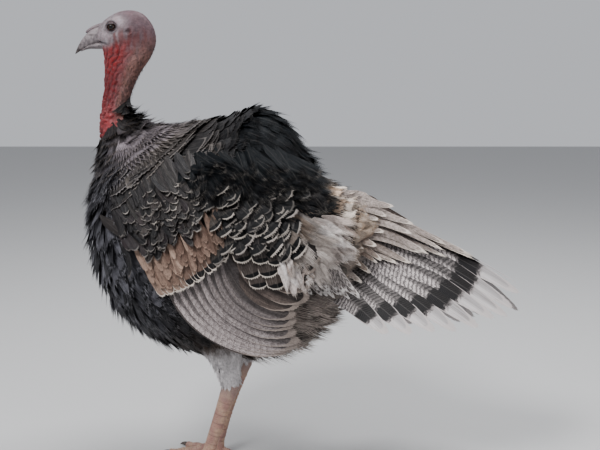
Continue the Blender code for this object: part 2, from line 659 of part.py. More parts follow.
def make_leg(side, parts, materials, cutters):
    """Feathered thigh, scaly shank, and a foot of four toes with a claw on each, flat where it stands."""
    tag = "left" if side < 0 else "right"
    hip, hock, ankle = (leg_point(place, side) for place in (HIP_AT, HOCK_AT, ANKLE_AT))
    hip.y *= 1.15
    thigh_line = [hip.lerp(hock, t) for t in THIGH_STATIONS]
    thigh = swept("thigh_" + tag, thigh_line, THIGH_RADII, parts, sides=16, flat=0.86)
    torso_room = torso_length("torso_room", cutters, 2 * GAP)
    solid_with(thigh, "DIFFERENCE", torso_room)
    bpy.data.objects.remove(torso_room, do_unlink=True)
    finish_node(thigh, parts, materials["black_feather"])

    bend = [hip.lerp(hock, 0.90), hip.lerp(hock, 0.97), hock + Vector((0.0016, 0, -0.002))]
    steps = [(k + 1) / SHANK_RINGS for k in range(SHANK_RINGS)]
    centres = bend + [hock.lerp(ankle, t) + Vector((0.004 * (1 - t) ** 3, 0, 0)) for t in steps]
    radii = [0.0120, 0.0140, 0.0150] + [mix(0.0092, 0.0152, (1 - t) ** 3) + 0.0018 * t ** 4 for t in steps]
    ridges = [0.0] * len(bend) + [SCUTE_STEP if k % 2 else 0.0 for k in range(SHANK_RINGS - 1)] + [0.0]
    shank = swept("shank_" + tag, centres, radii, parts, SHANK_SIDES, 0.82, end_level=True, front_step=ridges)
    clear_of(shank, thigh)
    finish_node(shank, parts, materials["shank"])
    make_foot(side, tag, ankle, radii[-1], parts, materials, cutters)


def make_foot(side, tag, ankle, ankle_radius, parts, materials, cutters):
    toes = new_collection("toes_" + tag)
    palm = Vector((ankle.x - 0.004, ankle.y, 0.008))
    for name, (heading, length, radius) in TOES.items():
        way = Vector((math.cos(heading), math.sin(heading) * -side, 0))
        steps = np.linspace(0, 1, 9)
        centres, radii = [], []
        for k, t in enumerate(steps):
            joint = 1 + 0.10 * math.cos(2 * math.pi * t * 3)
            size = radius * mix(1.0, 0.66, t) * joint
            rise = 0.006 * (1 - t) ** 2 + (0.005 * (1 - t) if name == "hind" else 0)
            centres.append(palm + way * length * t + Vector((0, 0, size * 0.82 + rise - palm.z)))
            radii.append(size + (0.0005 if k % 2 else 0))
        toe_rings(name, centres, radii, way, toes)
        claw_from = centres[-1] + way * GAP
        make_claw(f"claw_{name}_{tag}", claw_from, way, radii[-1], parts, materials)
    ellipsoid("palm", palm, (0.0145, 0.0125, 0.0095), toes, 12, 8)
    stem = [ankle - Vector((0, 0, GAP)), ankle - Vector((0.001, 0, 0.010)), ankle - Vector((0.002, 0, 0.022))]
    stem_radii = (ankle_radius, ankle_radius * 1.02, ankle_radius * 1.15)
    foot = swept("foot_" + tag, stem, stem_radii, parts, sides=SHANK_SIDES, flat=0.82)
    solid_with(foot, "UNION", toes)
    ground = floor_cutter(cutters)
    top_room = ankle_cutter(ankle, cutters)
    for cutter in (ground, top_room):
        solid_with(foot, "DIFFERENCE", cutter)
        bpy.data.objects.remove(cutter, do_unlink=True)
    finish_node(foot, parts, materials["shank"])


def toe_rings(name, centres, radii, way, collection):
    """A toe: round rings square to its way, closed at both ends."""
    over = Vector((-way.y, way.x, 0))
    rings = []
    for centre, radius in zip(centres, radii):
        angles = [2 * math.pi * (k + 0.5) / 8 for k in range(8)]
        ring = [over * radius * math.cos(a) + Vector((0, 0, radius * math.sin(a))) for a in angles]
        rings.append([centre + offset for offset in ring])
    loft(name, rings, collection)


def make_claw(name, start, way, radius, parts, materials):
    """A blunt curved claw, face to face with the end of its toe, its tip just over the floor."""
    over = Vector((-way.y, way.x, 0))
    rings = []
    for t in (0.0, 0.35, 0.7, 1.0):
        size = radius * 0.70 * (1 - t) ** 0.8 + 0.0008
        drop = (start.z - 0.0026) * t ** 2
        centre = start + way * CLAW_LENGTH * t - Vector((0, 0, drop))
        angles = [2 * math.pi * (k + 0.5) / 8 for k in range(8)]
        ring = [over * size * 0.8 * math.cos(a) + Vector((0, 0, size * math.sin(a))) for a in angles]
        rings.append([centre + offset for offset in ring])
    finish_node(loft(name, rings, parts), parts, materials["horn"])


def floor_cutter(cutters):
    """A slab under the floor, so that the soles end on flats at one level."""
    bpy.ops.mesh.primitive_cube_add(size=1.0, location=(-0.12, 0, -0.5))
    slab = bpy.context.object
    slab.users_collection[0].objects.unlink(slab)
    cutters.objects.link(slab)
    return slab


def ankle_cutter(ankle, cutters):
    """A block over the ankle's level, which keeps the foot below the shank's end."""
    size = 0.05
    bpy.ops.mesh.primitive_cube_add(size=size, location=ankle + Vector((0, 0, size / 2 - GAP)))
    block = bpy.context.object
    block.users_collection[0].objects.unlink(block)
    cutters.objects.link(block)
    return block


def main():
    clear_scene()
    parts = new_collection("domestic_turkey")
    cutters = new_collection("cutters")
    cutters.hide_render = True
    materials = {name: make_material(name) for name in COLOURS}
    make_head(parts, materials, cutters)
    make_neck(parts, materials)
    finish_node(torso_length("torso", parts), parts, materials["black_feather"])
    make_tail(parts, materials, cutters)
    for side in (-1, 1):
        make_wing(side, parts, materials, cutters)
        make_leg(side, parts, materials, cutters)


main()
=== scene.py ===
"""The looks of the standing turkey: bare skin, eyes, bill, legs and every feather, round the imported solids.

Metres, +Z up, the bill towards -X and the bird's left side towards -Y, as in the solids. The skin and the coat
follow the same body line, wing shell and tail fan as the solids do, so the named sizes below repeat theirs.
Places along the body are given as (u, v): u is the fractional row of the body line, from the bill at 0 to the
tail's base, and v the angle round it, 0 on the back and pi under the belly.
"""

import math

import bpy
import numpy as np
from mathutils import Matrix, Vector, noise

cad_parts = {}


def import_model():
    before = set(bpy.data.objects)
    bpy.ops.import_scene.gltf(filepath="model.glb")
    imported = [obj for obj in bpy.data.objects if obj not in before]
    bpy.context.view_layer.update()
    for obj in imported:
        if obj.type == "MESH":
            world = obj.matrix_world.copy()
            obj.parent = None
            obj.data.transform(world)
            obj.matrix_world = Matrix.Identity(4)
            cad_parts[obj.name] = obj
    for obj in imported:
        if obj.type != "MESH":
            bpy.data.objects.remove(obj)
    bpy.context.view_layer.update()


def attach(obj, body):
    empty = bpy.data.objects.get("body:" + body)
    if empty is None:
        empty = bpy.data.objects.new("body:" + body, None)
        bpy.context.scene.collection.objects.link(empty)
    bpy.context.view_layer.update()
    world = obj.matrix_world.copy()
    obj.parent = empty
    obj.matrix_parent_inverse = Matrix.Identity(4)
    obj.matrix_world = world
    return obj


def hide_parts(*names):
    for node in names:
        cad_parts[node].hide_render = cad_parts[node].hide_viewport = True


RNG = np.random.default_rng(8007)
TAU = 2 * math.pi
Y_AXIS, Z_AXIS = np.eye(3)[1:]
SIDES = {"left": -1, "right": 1}

# The body line: (back x, back z, belly x, belly z, half width, how much wider low down)
BODY_LINE = np.array([
    (-0.3075, 0.7030, -0.3015, 0.6790, 0.0100, 0.00),
    (-0.2930, 0.7180, -0.2990, 0.6750, 0.0160, 0.00),
    (-0.2690, 0.7300, -0.2980, 0.6710, 0.0190, 0.02),
    (-0.2430, 0.7285, -0.2970, 0.6670, 0.0205, 0.04),
    (-0.2240, 0.7110, -0.2965, 0.6610, 0.0210, 0.04),
    (-0.2180, 0.6870, -0.2965, 0.6520, 0.0200, 0.04),
    (-0.2260, 0.6630, -0.2965, 0.6420, 0.0180, 0.02),
    (-0.2420, 0.6400, -0.2965, 0.6280, 0.0160, 0.00),
    (-0.2550, 0.6140, -0.2970, 0.6060, 0.0150, 0.00),
    (-0.2610, 0.5930, -0.3005, 0.5850, 0.0170, 0.00),
    (-0.2580, 0.5780, -0.3050, 0.5580, 0.0240, 0.00),
    (-0.2430, 0.5680, -0.3080, 0.5270, 0.0380, 0.02),
    (-0.2220, 0.5620, -0.3150, 0.4800, 0.0620, 0.04),
    (-0.1920, 0.5600, -0.3255, 0.4150, 0.0940, 0.08),
    (-0.1550, 0.5640, -0.3185, 0.3400, 0.1200, 0.12),
    (-0.1100, 0.5720, -0.2870, 0.2780, 0.1360, 0.14),
    (-0.0650, 0.5860, -0.2350, 0.2300, 0.1430, 0.15),
    (-0.0220, 0.5640, -0.1680, 0.2040, 0.1400, 0.15),
    (0.0120, 0.5130, -0.0950, 0.2000, 0.1280, 0.14),
    (0.0440, 0.4750, -0.0240, 0.2160, 0.1100, 0.10),
    (0.0770, 0.4540, 0.0320, 0.2580, 0.0860, 0.06),
    (0.1080, 0.4370, 0.0740, 0.3170, 0.0580, 0.02),
    (0.1280, 0.4230, 0.1010, 0.3660, 0.0360, 0.00),
])
LAST_STATION = len(BODY_LINE) - 1
FIRST_BACK_ROW = 12
COAT_DEPTH = 0.011

# The body skin's rings: how many round it, and its stations over the bare head and neck and under the coat
SKIN_SIDES, BARE_RINGS, BARE_END, COVERED_RINGS, COVERED_START, TAIL_GAP = 132, 265, 10.6, 70, 10.7, 0.02

# Head
EYE_AT, EYE_RADIUS = np.array([-0.2820, 0.0128, 0.7060]), 0.0066
PUPIL_EDGE, IRIS_EDGE = (0.0028, 0.0032), (0.0046, 0.0054)
LID_OPEN, LID_REACH, SOCKET_REACH, SOCKET_DEPTH = (0.0063, 0.0045), 0.0112, 0.0096, 0.0060
SOCKET_RIM, FACE_REACH = 0.0026, 0.030
EAR_AT = np.array([-0.2560, 0.0215, 0.6990])
MOUTH_FRONT, MOUTH_CORNER, MOUTH_WIDE = np.array([-0.3060, 0.6855]), np.array([-0.2870, 0.6790]), 2.4
BILL_BASE_X, BILL_HALF_WIDTH = -0.2960, 0.0108
BILL_TOP, BILL_MOUTH, BILL_UNDER, BILL_PARTING = 0.7072, 0.6845, 0.6745, 0.0004
BILL_TIP, LOWER_BILL_TIP = np.array([-0.3410, 0.0, 0.6665]), np.array([-0.3320, 0.0, 0.6705])
CULMEN_BEND, CULMEN_ROUND = 2.3, 0.88
NOSTRIL_AT = np.array([-0.3145, 0.0078, 0.6935])
SNOOD_ROOT, SNOOD_TIP, SNOOD_RADIUS = np.array([-0.2960, 0, 0.7085]), np.array([-0.3240, 0, 0.6985]), 0.0042

# Swellings of the head on each side: centre, reach and how far each stands out
HEAD_SWELLS = (
    ((-0.284, 0.017, 0.7150), (0.012, 0.006, 0.0045), 0.0016),
    ((-0.290, 0.014, 0.6950), (0.009, 0.008, 0.0060), -0.0012),
    ((-0.278, 0.018, 0.6900), (0.013, 0.010, 0.0065), 0.0014),
    ((-0.266, 0.020, 0.7050), (0.008, 0.010, 0.0090), -0.0010),
    ((-0.240, 0.010, 0.7220), (0.018, 0.012, 0.0080), 0.0012),
)
# Pale patches of the face: centre and reach
FACE_PATCH = ((-0.292, 0.014, 0.694), (0.013, 0.02, 0.008))
BROW_PATCH = ((-0.272, 0.016, 0.7125), (0.012, 0.02, 0.007))

# Round caruncles at the neck's foot
CARUNCLES, CARUNCLE_STATIONS, CARUNCLE_RADII = 150, (7.9, 10.7), (0.0016, 0.0046)

# Wing shell
SHELL_MID_X, SHELL_MID_Z, SHELL_LONG, SHELL_OUT, SHELL_UP, SHELL_DOWN = -0.085, 0.385, 0.300, 0.163, 0.190, 0.330
PAD_MID, PAD_TURN = np.array([-0.105, 0.410]), math.radians(-12)
PAD_LONG, PAD_HIGH, PAD_DEEP = 0.120, 0.068, 0.045
# Rows of long vanes: first and last root, first and last tip, and how far each bows down for its length
SECONDARIES = ((-0.193, 0.352), (-0.110, 0.396), (-0.0060, 0.234), (-0.006, 0.296), 0.13, 0.17)
TERTIALS = ((-0.104, 0.400), (-0.044, 0.420), (0.000, 0.312), (0.034, 0.380), 0.14, 0.07)
PRIMARIES = ((-0.176, 0.378), (-0.200, 0.372), (-0.008, 0.258), (-0.034, 0.238), 0.13, 0.15)
# The line that the wing coverts' tips follow, from front to back
COVERT_LINE = (np.array([-0.190, 0.326]), np.array([-0.094, 0.388]))
# Tips of the inner coverts, from the highest down
INNER_COVERT_TIPS = (
    (-0.082, 0.408), (-0.056, 0.412), (-0.086, 0.392), (-0.058, 0.394), (-0.032, 0.392), (-0.078, 0.376),
    (-0.052, 0.374), (-0.028, 0.374), (-0.066, 0.356), (-0.040, 0.356), (-0.056, 0.338), (-0.030, 0.338),
)
SCAPULAR_TIERS, SCAPULARS_EACH, UPPER_ROOM = 7, 14, 0.036
PALE_TUFTS, SIDE_COVERTS = 130, 30

# Tail fan
TAIL_PIVOT, TAIL_PITCH, TAIL_RIDGE = np.array([0.078, 0.0, 0.4370]), math.radians(19), 0.10
# How each half is spread: swing, roof slope, how far back, out and down its outer roots lie, droop, and the
# reach of its middle and its outermost feather
TAIL_LEFT = (math.radians(38), 0.45, 0.070, 0.035, 0.085, 0.50, 0.280, 0.165)
TAIL_RIGHT = (math.radians(26), 0.80, 0.045, 0.035, 0.095, 0.85, 0.280, 0.210)
RECTRIX_PAIRS, RECTRIX_WIDTH = 9, 0.040
# Tiers of upper tail coverts: name, pairs, longest, shortest, width, and the height of root and tip
TAIL_COVERT_TIERS = (
    ("long_upper_coverts", 7, 0.215, 0.085, 0.026, 0.010, 0.0075),
    ("upper_coverts", 8, 0.160, 0.070, 0.028, 0.016, 0.0140),
    ("short_upper_coverts", 8, 0.105, 0.050, 0.030, 0.022, 0.0200),
    ("rump_coverts", 8, 0.060, 0.030, 0.032, 0.028, 0.0260),
)
TAIL_COVERT_START, UNDER_COVERTS, UNDER_COVERT_LENGTH = -0.022, 15, 0.125

# Legs
LEG_Y, RIGHT_LEG_BACK, HIP_OUT, LEG_FLAT = 0.058, 0.012, 1.15, 0.84
HIP, HOCK, ANKLE = np.array([-0.128, 0.292]), np.array([-0.1070, 0.1700]), np.array([-0.1500, 0.0300])
THIGH_AT, THIGH_RADIUS = (0, 0.25, 0.5, 0.72, 0.88), (0.046, 0.043, 0.033, 0.0225, 0.0170)
SCUTES, SCUTES_FROM, TOE_SCUTE = 21, 0.16, 0.0040
LEG_SIDES, TOE_SIDES, TOE_RINGS, CLAW_SIDES = 36, 28, 110, 20
# Each toe: heading, length and radius at its root
TOES = {
    "middle": (math.radians(180), 0.080, 0.0088),
    "inner": (math.radians(146), 0.062, 0.0080),
    "outer": (math.radians(214), 0.064, 0.0080),
    "hind": (math.radians(8), 0.034, 0.0068),
}
TOE_BACK, PALM_HEIGHT, PALM_LONG, PALM_WIDE, PALM_TALL = 0.004, 0.0080, 0.0150, 0.0130, 0.0100
CLAW_LENGTH, SOLE = 0.0155, 0.0002

# How large a feather's patch of the unwrap is: a small feather's, and a large one's with a cell of its own
SMALL_PATCH, LARGE_PATCH = 0.003, 0.16

# Colours of the bare parts
SKIN_GREY, SKIN_CROWN = np.array([0.194, 0.169, 0.180]), np.array([0.092, 0.053, 0.064])
# The second colour is painted shade for the mouth's crease and the ear's hollow
SKIN_PALE, CREASE_SHADE = np.array([0.45, 0.39, 0.415]), np.array([0.020, 0.015, 0.016])
# The second red is the throat's deeper red low down, and painted shade in the troughs of its folds
THROAT_RED, DEEP_RED_AND_FOLD_SHADE = np.array([0.235, 0.018, 0.018]), np.array([0.070, 0.007, 0.010])
NAPE, CHEEK = np.array([0.215, 0.115, 0.098]), np.array([0.115, 0.038, 0.038])
CARUNCLE_PINK = np.array([0.29, 0.050, 0.052])
# The lid's ring and rim colours: dark lid skin, and also painted shade round the eye's opening
LID_RING_AND_SHADE, LID_RIM_AND_SHADE = np.array([0.070, 0.056, 0.060]), np.array([0.014, 0.010, 0.011])
# Near-black painted shade: the skin under the coat, the wings' pads under their coverts and the thighs under
# their feathers
UNDER_COAT_SHADE, UNDER_WING_SHADE, THIGH_SKIN_SHADE = (0.020, 0.018, 0.019, 0.0), (0.022, 0.019, 0.019, 0.0), (0.05, 0.045, 0.045)
LEG_BUFF, LEG_ROSE = np.array([0.46, 0.315, 0.235]), np.array([0.36, 0.215, 0.180])
LEG_SHADOW, LEG_HOCK = np.array([0.13, 0.085, 0.075]), np.array([0.30, 0.235, 0.215])
IRIS, PUPIL = np.array([0.040, 0.017, 0.008]), np.array([0.003, 0.003, 0.003])
EYE_WHITE = np.array([0.02, 0.013, 0.012])
SNOOD_GREY, SNOOD_ROSE = np.array([0.185, 0.158, 0.168]), np.array([0.120, 0.085, 0.093])
# Horn: its colours at tip and root, and where along X they meet
BILL_HORN = (0.055, 0.046, 0.044, 1), (0.225, 0.195, 0.205, 1), -0.342, -0.324
CLAW_HORN = (0.07, 0.055, 0.05, 1), (0.12, 0.10, 0.09, 1), -0.25, -0.15

# Colours of the feathers
BLACK = np.array([0.0095, 0.0090, 0.0105])
BLUE_BLACK = np.array([0.0060, 0.0078, 0.0098])
BRONZE = np.array([0.088, 0.074, 0.064])
PLUM = np.array([0.070, 0.046, 0.054])
# A pale mauve used as painted sheen on the shoulder's feathers
MAUVE_SHEEN = np.array([0.180, 0.158, 0.172])
BROWN = np.array([0.130, 0.088, 0.066])
GREY_BROWN = np.array([0.165, 0.130, 0.115])
BUFF = np.array([0.42, 0.31, 0.23])
WHITE = np.array([0.62, 0.56, 0.50])
GREY_EDGE = np.array([0.24, 0.215, 0.20])
BREAST_GREY, BREAST_EDGE = np.array([0.078, 0.077, 0.087]), np.array([0.30, 0.30, 0.335])
FLUFF_PALE, FLUFF_HIND = np.array([0.52, 0.44, 0.40]), np.array([0.42, 0.37, 0.35])
FLIGHT_GREY, FLIGHT_EDGE = np.array([0.370, 0.325, 0.320]), np.array([0.34, 0.285, 0.25])
RUFOUS, TAN = np.array([0.150, 0.095, 0.074]), np.array([0.400, 0.290, 0.232])
REAR_PALE = np.array([0.62, 0.58, 0.56])
TUFT_BUFF, TUFT_PALE = np.array([0.38, 0.305, 0.27]), np.array([0.80, 0.75, 0.73])
SIDE_GREY, SIDE_EDGE = np.array([0.40, 0.355, 0.34]), np.array([0.66, 0.62, 0.60])
RECTRIX, RECTRIX_EDGE = np.array([0.540, 0.490, 0.480]), np.array([0.46, 0.42, 0.41])
TAIL_COVERT_BROWN, TAIL_COVERT_PALE = np.array([0.22, 0.165, 0.135]), np.array([0.35, 0.30, 0.275])
THIGH_PALE = np.array([0.60, 0.57, 0.575])
BRISTLE = np.array([[0.018, 0.014, 0.014]])
FLANK_TURN = 0.85

# The photograph's framing: where the camera stands and how far down it looks, then its focal length and the
# picture's width in picture points, and the width that the camera gives them
CAMERA_AT, CAMERA_PITCH = (0.0, -1.45, 0.635), math.radians(9.07)
FOCAL_POINTS, PICTURE_POINTS, SENSOR_MM = 940.0, 600.0, 36.0
# Lights: name, place, size across and power
LIGHTS = (
    ("key", (-1.2, -1.7, 2.5), 0.9, 62),
    ("top", (0.5, 0.3, 2.6), 1.4, 45),
    ("fill", (1.9, -1.6, 0.9), 1.6, 8),
)
LIT_POINT, FLOOR_SIZE, WORLD_COLOUR, WORLD_STRENGTH = (0.0, 0.0, 0.4), 14.0, (0.93, 0.95, 1.0, 1), 0.50


def smooth(a, b, x):
    """0 below a, 1 above b, and a smooth step between them."""
    t = np.clip((np.asarray(x, float) - a) / (b - a), 0, 1)
    return t * t * (3 - 2 * t)


def mix(a, b, t):
    return a + (b - a) * t


def unit(vectors):
    return vectors / np.maximum(np.linalg.norm(vectors, axis=-1, keepdims=True), 1e-12)


# Surfaces

def line_at(u):
    """The body line's row at each fractional station, on a smooth curve through its rows."""
    u = np.clip(np.asarray(u, float), 0, LAST_STATION - 1e-9)
    k = np.floor(u).astype(int)
    t = (u - k)[..., None]
    before, a = BODY_LINE[np.maximum(k - 1, 0)], BODY_LINE[k]
    b, after = BODY_LINE[k + 1], BODY_LINE[np.minimum(k + 2, LAST_STATION)]
    slope_a, slope_b = (b - before) / 2, (after - a) / 2
    t2, t3 = t * t, t * t * t
    return (2 * t3 - 3 * t2 + 1) * a + (t3 - 2 * t2 + t) * slope_a + (3 * t2 - 2 * t3) * b + (t3 - t2) * slope_b


def body_bare(u, v):
    row = line_at(u)
    half_x, half_z = (row[..., 0] - row[..., 2]) / 2, (row[..., 1] - row[..., 3]) / 2
    mid_x, mid_z = (row[..., 0] + row[..., 2]) / 2, (row[..., 1] + row[..., 3]) / 2
    y = -row[..., 4] * np.sin(v) * (1 - row[..., 5] * np.cos(v))
    return np.stack([mid_x + half_x * np.cos(v), y, mid_z + half_z * np.cos(v)], -1)


def body_frame(u, v):
    """The two tangents, not scaled to unit length, and the outward normal of the body line's skin."""
    step = 1e-3
    along = (body_bare(u + step, v) - body_bare(u - step, v)) / (2 * step)
    around = (body_bare(u, v + step) - body_bare(u, v - step)) / (2 * step)
    return along, around, unit(np.cross(around, along))


def body_surface(u, v, height):
    return body_bare(u, v) + body_frame(u, v)[2] * np.asarray(height)[..., None]


def wing_surface(side):
    """The shell over one side of the body that the wing's feathers follow, as a function of x, z and height."""
    def place(x, z, height):
        tall = np.where(z > SHELL_MID_Z, SHELL_UP, SHELL_DOWN)
        dx, dz = (x - SHELL_MID_X) / SHELL_LONG, (z - SHELL_MID_Z) / tall
        out = SHELL_OUT * np.sqrt(np.maximum(1 - dx * dx - dz * dz, 0.04))
        normal = unit(np.stack([dx / SHELL_LONG, out / SHELL_OUT ** 2, dz / tall], -1))
        point = np.stack([x, out, z], -1) + normal * np.asarray(height)[..., None]
        return point * np.array([1, side, 1])
    return place


# Meshes

def make_object(name, points, quads=None, triangles=None, uv=None, colours=None):
    """A smooth mesh from arrays, with its attributes and an unwrap if they are given."""
    quads = np.zeros((0, 4), int) if quads is None else quads
    triangles = np.zeros((0, 3), int) if triangles is None else triangles
    loops = np.concatenate([quads.ravel(), triangles.ravel()]).astype(np.int32)
    starts = np.concatenate([np.arange(len(quads)) * 4, len(quads) * 4 + np.arange(len(triangles)) * 3])
    mesh = bpy.data.meshes.new(name)
    mesh.vertices.add(len(points))
    mesh.vertices.foreach_set("co", np.asarray(points, np.float32).ravel())
    mesh.loops.add(len(loops))
    mesh.loops.foreach_set("vertex_index", loops)
    mesh.polygons.add(len(starts))
    mesh.polygons.foreach_set("loop_start", starts.astype(np.int32))
    mesh.update(calc_edges=True)
    mesh.shade_smooth()
    for attribute, values in (colours or {}).items():
        layer = mesh.attributes.new(attribute, "FLOAT_COLOR", "POINT")
        layer.data.foreach_set("color", np.asarray(values, np.float32).ravel())
    if uv is not None:
        mesh.uv_layers.new(name="OFBake").data.foreach_set("uv", np.asarray(uv, np.float32)[loops].ravel())
    obj = bpy.data.objects.new(name, mesh)
    bpy.context.scene.collection.objects.link(obj)
    return obj


def dress(obj, material, slot, *replaced):
    """Gives a piece its material and its body, and hides the solids that it stands for. slot is not used."""
    obj.data.materials.append(material)
    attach(obj, "root")
    if replaced:
        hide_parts(*replaced)
    return obj


def grid_quads(rows, columns, wrapped=False):
    """The quads of a grid of vertices stored row by row, whose last column may join the first."""
    k, n = np.meshgrid(np.arange(rows - 1), np.arange(columns if wrapped else columns - 1), indexing="ij")
    after = (n + 1) % columns
    first, second = k * columns, (k + 1) * columns
    return np.stack([first + n, first + after, second + after, second + n], -1).reshape(-1, 4)


def tube(rings):
    """A tube through an array of rings, closed at each end on its middle point: (points, quads, triangles).
    It is turned so that its faces point out."""
    count, sides = rings.shape[:2]
    points = np.concatenate([rings.reshape(-1, 3), rings[:1].mean(1), rings[-1:].mean(1)])
    n = np.arange(sides)
    after, last = (n + 1) % sides, (count - 1) * sides
    start_cap = np.stack([after, n, np.full(sides, count * sides)], -1)
    end_cap = np.stack([last + n, last + after, np.full(sides, count * sides + 1)], -1)
    quads, triangles = grid_quads(count, sides, wrapped=True), np.concatenate([start_cap, end_cap])
    corners = points[np.concatenate([quads[:, [0, 1, 2]], quads[:, [0, 2, 3]], triangles])]
    volume = np.einsum("ij,ij->i", corners[:, 0], np.cross(corners[:, 1], corners[:, 2])).sum()
    return (points, quads, triangles) if volume > 0 else (points, quads[:, ::-1], triangles[:, ::-1])


def joined(shapes):
    """Several (points, quads, triangles) as one."""
    points, quads, triangles, first = [], [], [], 0
    for p, q, t in shapes:
        points.append(p)
        quads.append(q + first)
        triangles.append(t + first)
        first += len(p)
    return np.concatenate(points), np.concatenate(quads), np.concatenate(triangles)


def ring_angles(sides):
    return np.arange(sides) * TAU / sides


def swept_rings(centres, radii, sides, flat=1.0):
    """Rings square to a path in one plane y = constant, flat times as wide across Y as they are deep."""
    deep = np.cross(unit(np.gradient(centres, axis=0)), Y_AXIS)
    angles = ring_angles(sides)
    across = Y_AXIS * np.sin(angles)[None, :, None] * flat
    return centres[:, None] + radii[:, None, None] * (deep[:, None] * np.cos(angles)[None, :, None] + across)


def noise_at(points, scale, seed=0.0):
    """Smooth noise from -1 to 1 at each point, with features scale metres across."""
    offset = Vector((seed, seed * 1.7, seed * 2.3))
    return np.array([noise.noise(Vector(p) / scale + offset) for p in points])


def mound(points, centre, reach):
    """1 at a centre, fading to 0 over its reach along each axis."""
    return np.exp(-(((points - np.array(centre)) / np.array(reach)) ** 2).sum(-1))


def with_alpha(colour, alpha):
    """Colours with one more column, the same for all or one value each."""
    return np.concatenate([colour, np.broadcast_to(alpha, len(colour))[:, None]], 1)


# Materials

class Nodes:
    """A material's node tree, with short ways to add the nodes that these materials are made of."""

    def __init__(self, name):
        self.material = bpy.data.materials.new(name)
        self.material.use_nodes = True
        self.tree = self.material.node_tree
        self.shader = self.tree.nodes["Principled BSDF"]

    def add(self, kind, settings=None, **inputs):
        """A node with its settings, and its inputs by name or, as i0, i1 and so on, by number."""
        node = self.tree.nodes.new(kind)
        for key, value in (settings or {}).items():
            setattr(node, key, value)
        for key, value in inputs.items():
            numbered = key[0] == "i" and key[1:].isdigit()
            self.put(node.inputs[int(key[1:]) if numbered else key.replace("_", " ")], value)
        return node

    def put(self, socket, value):
        if isinstance(value, bpy.types.NodeSocket):
            self.tree.links.new(value, socket)
        else:
            socket.default_value = value

    def math(self, operation, a, b=0.0):
        return self.add("ShaderNodeMath", {"operation": operation}, i0=a, i1=b).outputs[0]

    def times(self, a, b):
        return self.math("MULTIPLY", a, b)

    def plus(self, a, b):
        return self.math("ADD", a, b)

    def less(self, a, b):
        return self.math("SUBTRACT", a, b)

    def swayed(self, value, by, amount):
        """A value moved to and fro by noise, at most half the amount each way."""
        return self.plus(value, self.times(self.less(by, 0.5), amount))

    def ramp(self, value, low, high):
        node = self.add("ShaderNodeMapRange", {"interpolation_type": "SMOOTHSTEP"}, i0=value, i1=low, i2=high)
        return node.outputs[0]

    def blend(self, share, a, b):
        node = self.add("ShaderNodeMix", {"data_type": "RGBA", "blend_type": "MIX"})
        for socket, value in zip((node.inputs[0], node.inputs[6], node.inputs[7]), (share, a, b)):
            self.put(socket, value)
        return node.outputs[2]

    def attribute(self, name):
        node = self.add("ShaderNodeAttribute", {"attribute_name": name})
        return node.outputs["Color"], node.outputs["Alpha"]

    def place(self):
        return self.add("ShaderNodeTexCoord").outputs["Object"]

    def noise(self, scale, detail=3.0, stretch=None, place=None):
        """Noise over the object, or over another place, with features about 1 / scale across."""
        place = place or self.place()
        if stretch:
            place = self.add("ShaderNodeMapping", i0=place, i3=stretch).outputs[0]
        return self.add("ShaderNodeTexNoise", i0=place, i2=scale, i3=detail).outputs[0]

    def bump(self, height, strength, distance):
        node = self.add("ShaderNodeBump", Strength=strength, Distance=distance, Height=height)
        self.put(self.shader.inputs["Normal"], node.outputs[0])

    def surface(self, colour, roughness, **fixed):
        self.put(self.shader.inputs["Base Color"], colour)
        self.put(self.shader.inputs["Roughness"], roughness)
        for key, value in fixed.items():
            self.shader.inputs[key.replace("_", " ")].default_value = value
        return self.material


# How feathers differ: bars with their pitch, colour, wobble and speckle, a dark band (from, to, softness), a
# pale tip, shade where the next vane covers this one (from, to, strength), and how strongly single barbs show
USUAL_LOOKS = dict(
    bars=0.0, bar_pitch=0.0, bar_colour=(0.03, 0.025, 0.025, 1), bar_wobble=1.9, speckle=0.0,
    band=None, band_colour=(0.012, 0.011, 0.012, 1), tip_at=None, tip_colour=(0.6, 0.55, 0.5, 1),
    covered=None, barbs=0.35, sheen=0.05, roughness=0.5, gloss=0.3,
)
FEATHER_KINDS = {
    "body": dict(name="body_feathers", band=(0.83, 0.955, 0.03), band_colour=(0.006, 0.006, 0.007, 1),
                 roughness=0.45, barbs=0.5, gloss=0.22),
    "black": dict(name="black_feathers", band=(0.83, 0.955, 0.03), band_colour=(0.004, 0.004, 0.005, 1),
                  roughness=0.45, barbs=0.10, sheen=0.0, gloss=0.10),
    "mantle": dict(name="mantle_feathers", band=(0.905, 0.955, 0.02), band_colour=(0.010, 0.009, 0.010, 1),
                   roughness=0.48, barbs=0.5),
    "soft": dict(name="soft_feathers", roughness=0.60, barbs=0.7),
    "covert": dict(name="greater_coverts", band=(0.78, 0.92, 0.03), tip_at=0.935,
                   tip_colour=(0.56, 0.51, 0.46, 1), roughness=0.55),
    "flight": dict(name="flight_feathers", bars=0.50, bar_pitch=22.0, bar_colour=(0.075, 0.056, 0.052, 1),
                   bar_wobble=3.0, speckle=0.50, covered=(0.86, 0.62, 0.70), roughness=0.55, barbs=0.9),
    "tail": dict(name="tail_feathers", bars=0.72, bar_pitch=40.0, bar_colour=(0.040, 0.034, 0.035, 1),
                 bar_wobble=1.4, band=(0.595, 0.715, 0.03), tip_at=0.735, tip_colour=(0.50, 0.475, 0.475, 1),
                 covered=(0.66, 0.42, 0.75), roughness=0.55, barbs=0.9),
    "side": dict(name="side_coverts", bars=0.70, bar_pitch=9.0, bar_colour=(0.045, 0.038, 0.037, 1),
                 bar_wobble=1.1, roughness=0.6, barbs=0.8),
    "covert_tail": dict(name="tail_coverts", bars=0.30, bar_pitch=16.0, bar_colour=(0.08, 0.06, 0.05, 1),
                        roughness=0.6, barbs=0.9),
}
BLACK_INK, SHADE_INK, TIP_STREAK = (0, 0, 0, 1), (0.010, 0.008, 0.008, 1), (0.2, 0.17, 0.15, 1)
SHEEN_ROUGHNESS, SHEEN_TINT = 0.4, (0.5, 0.48, 0.5, 1)


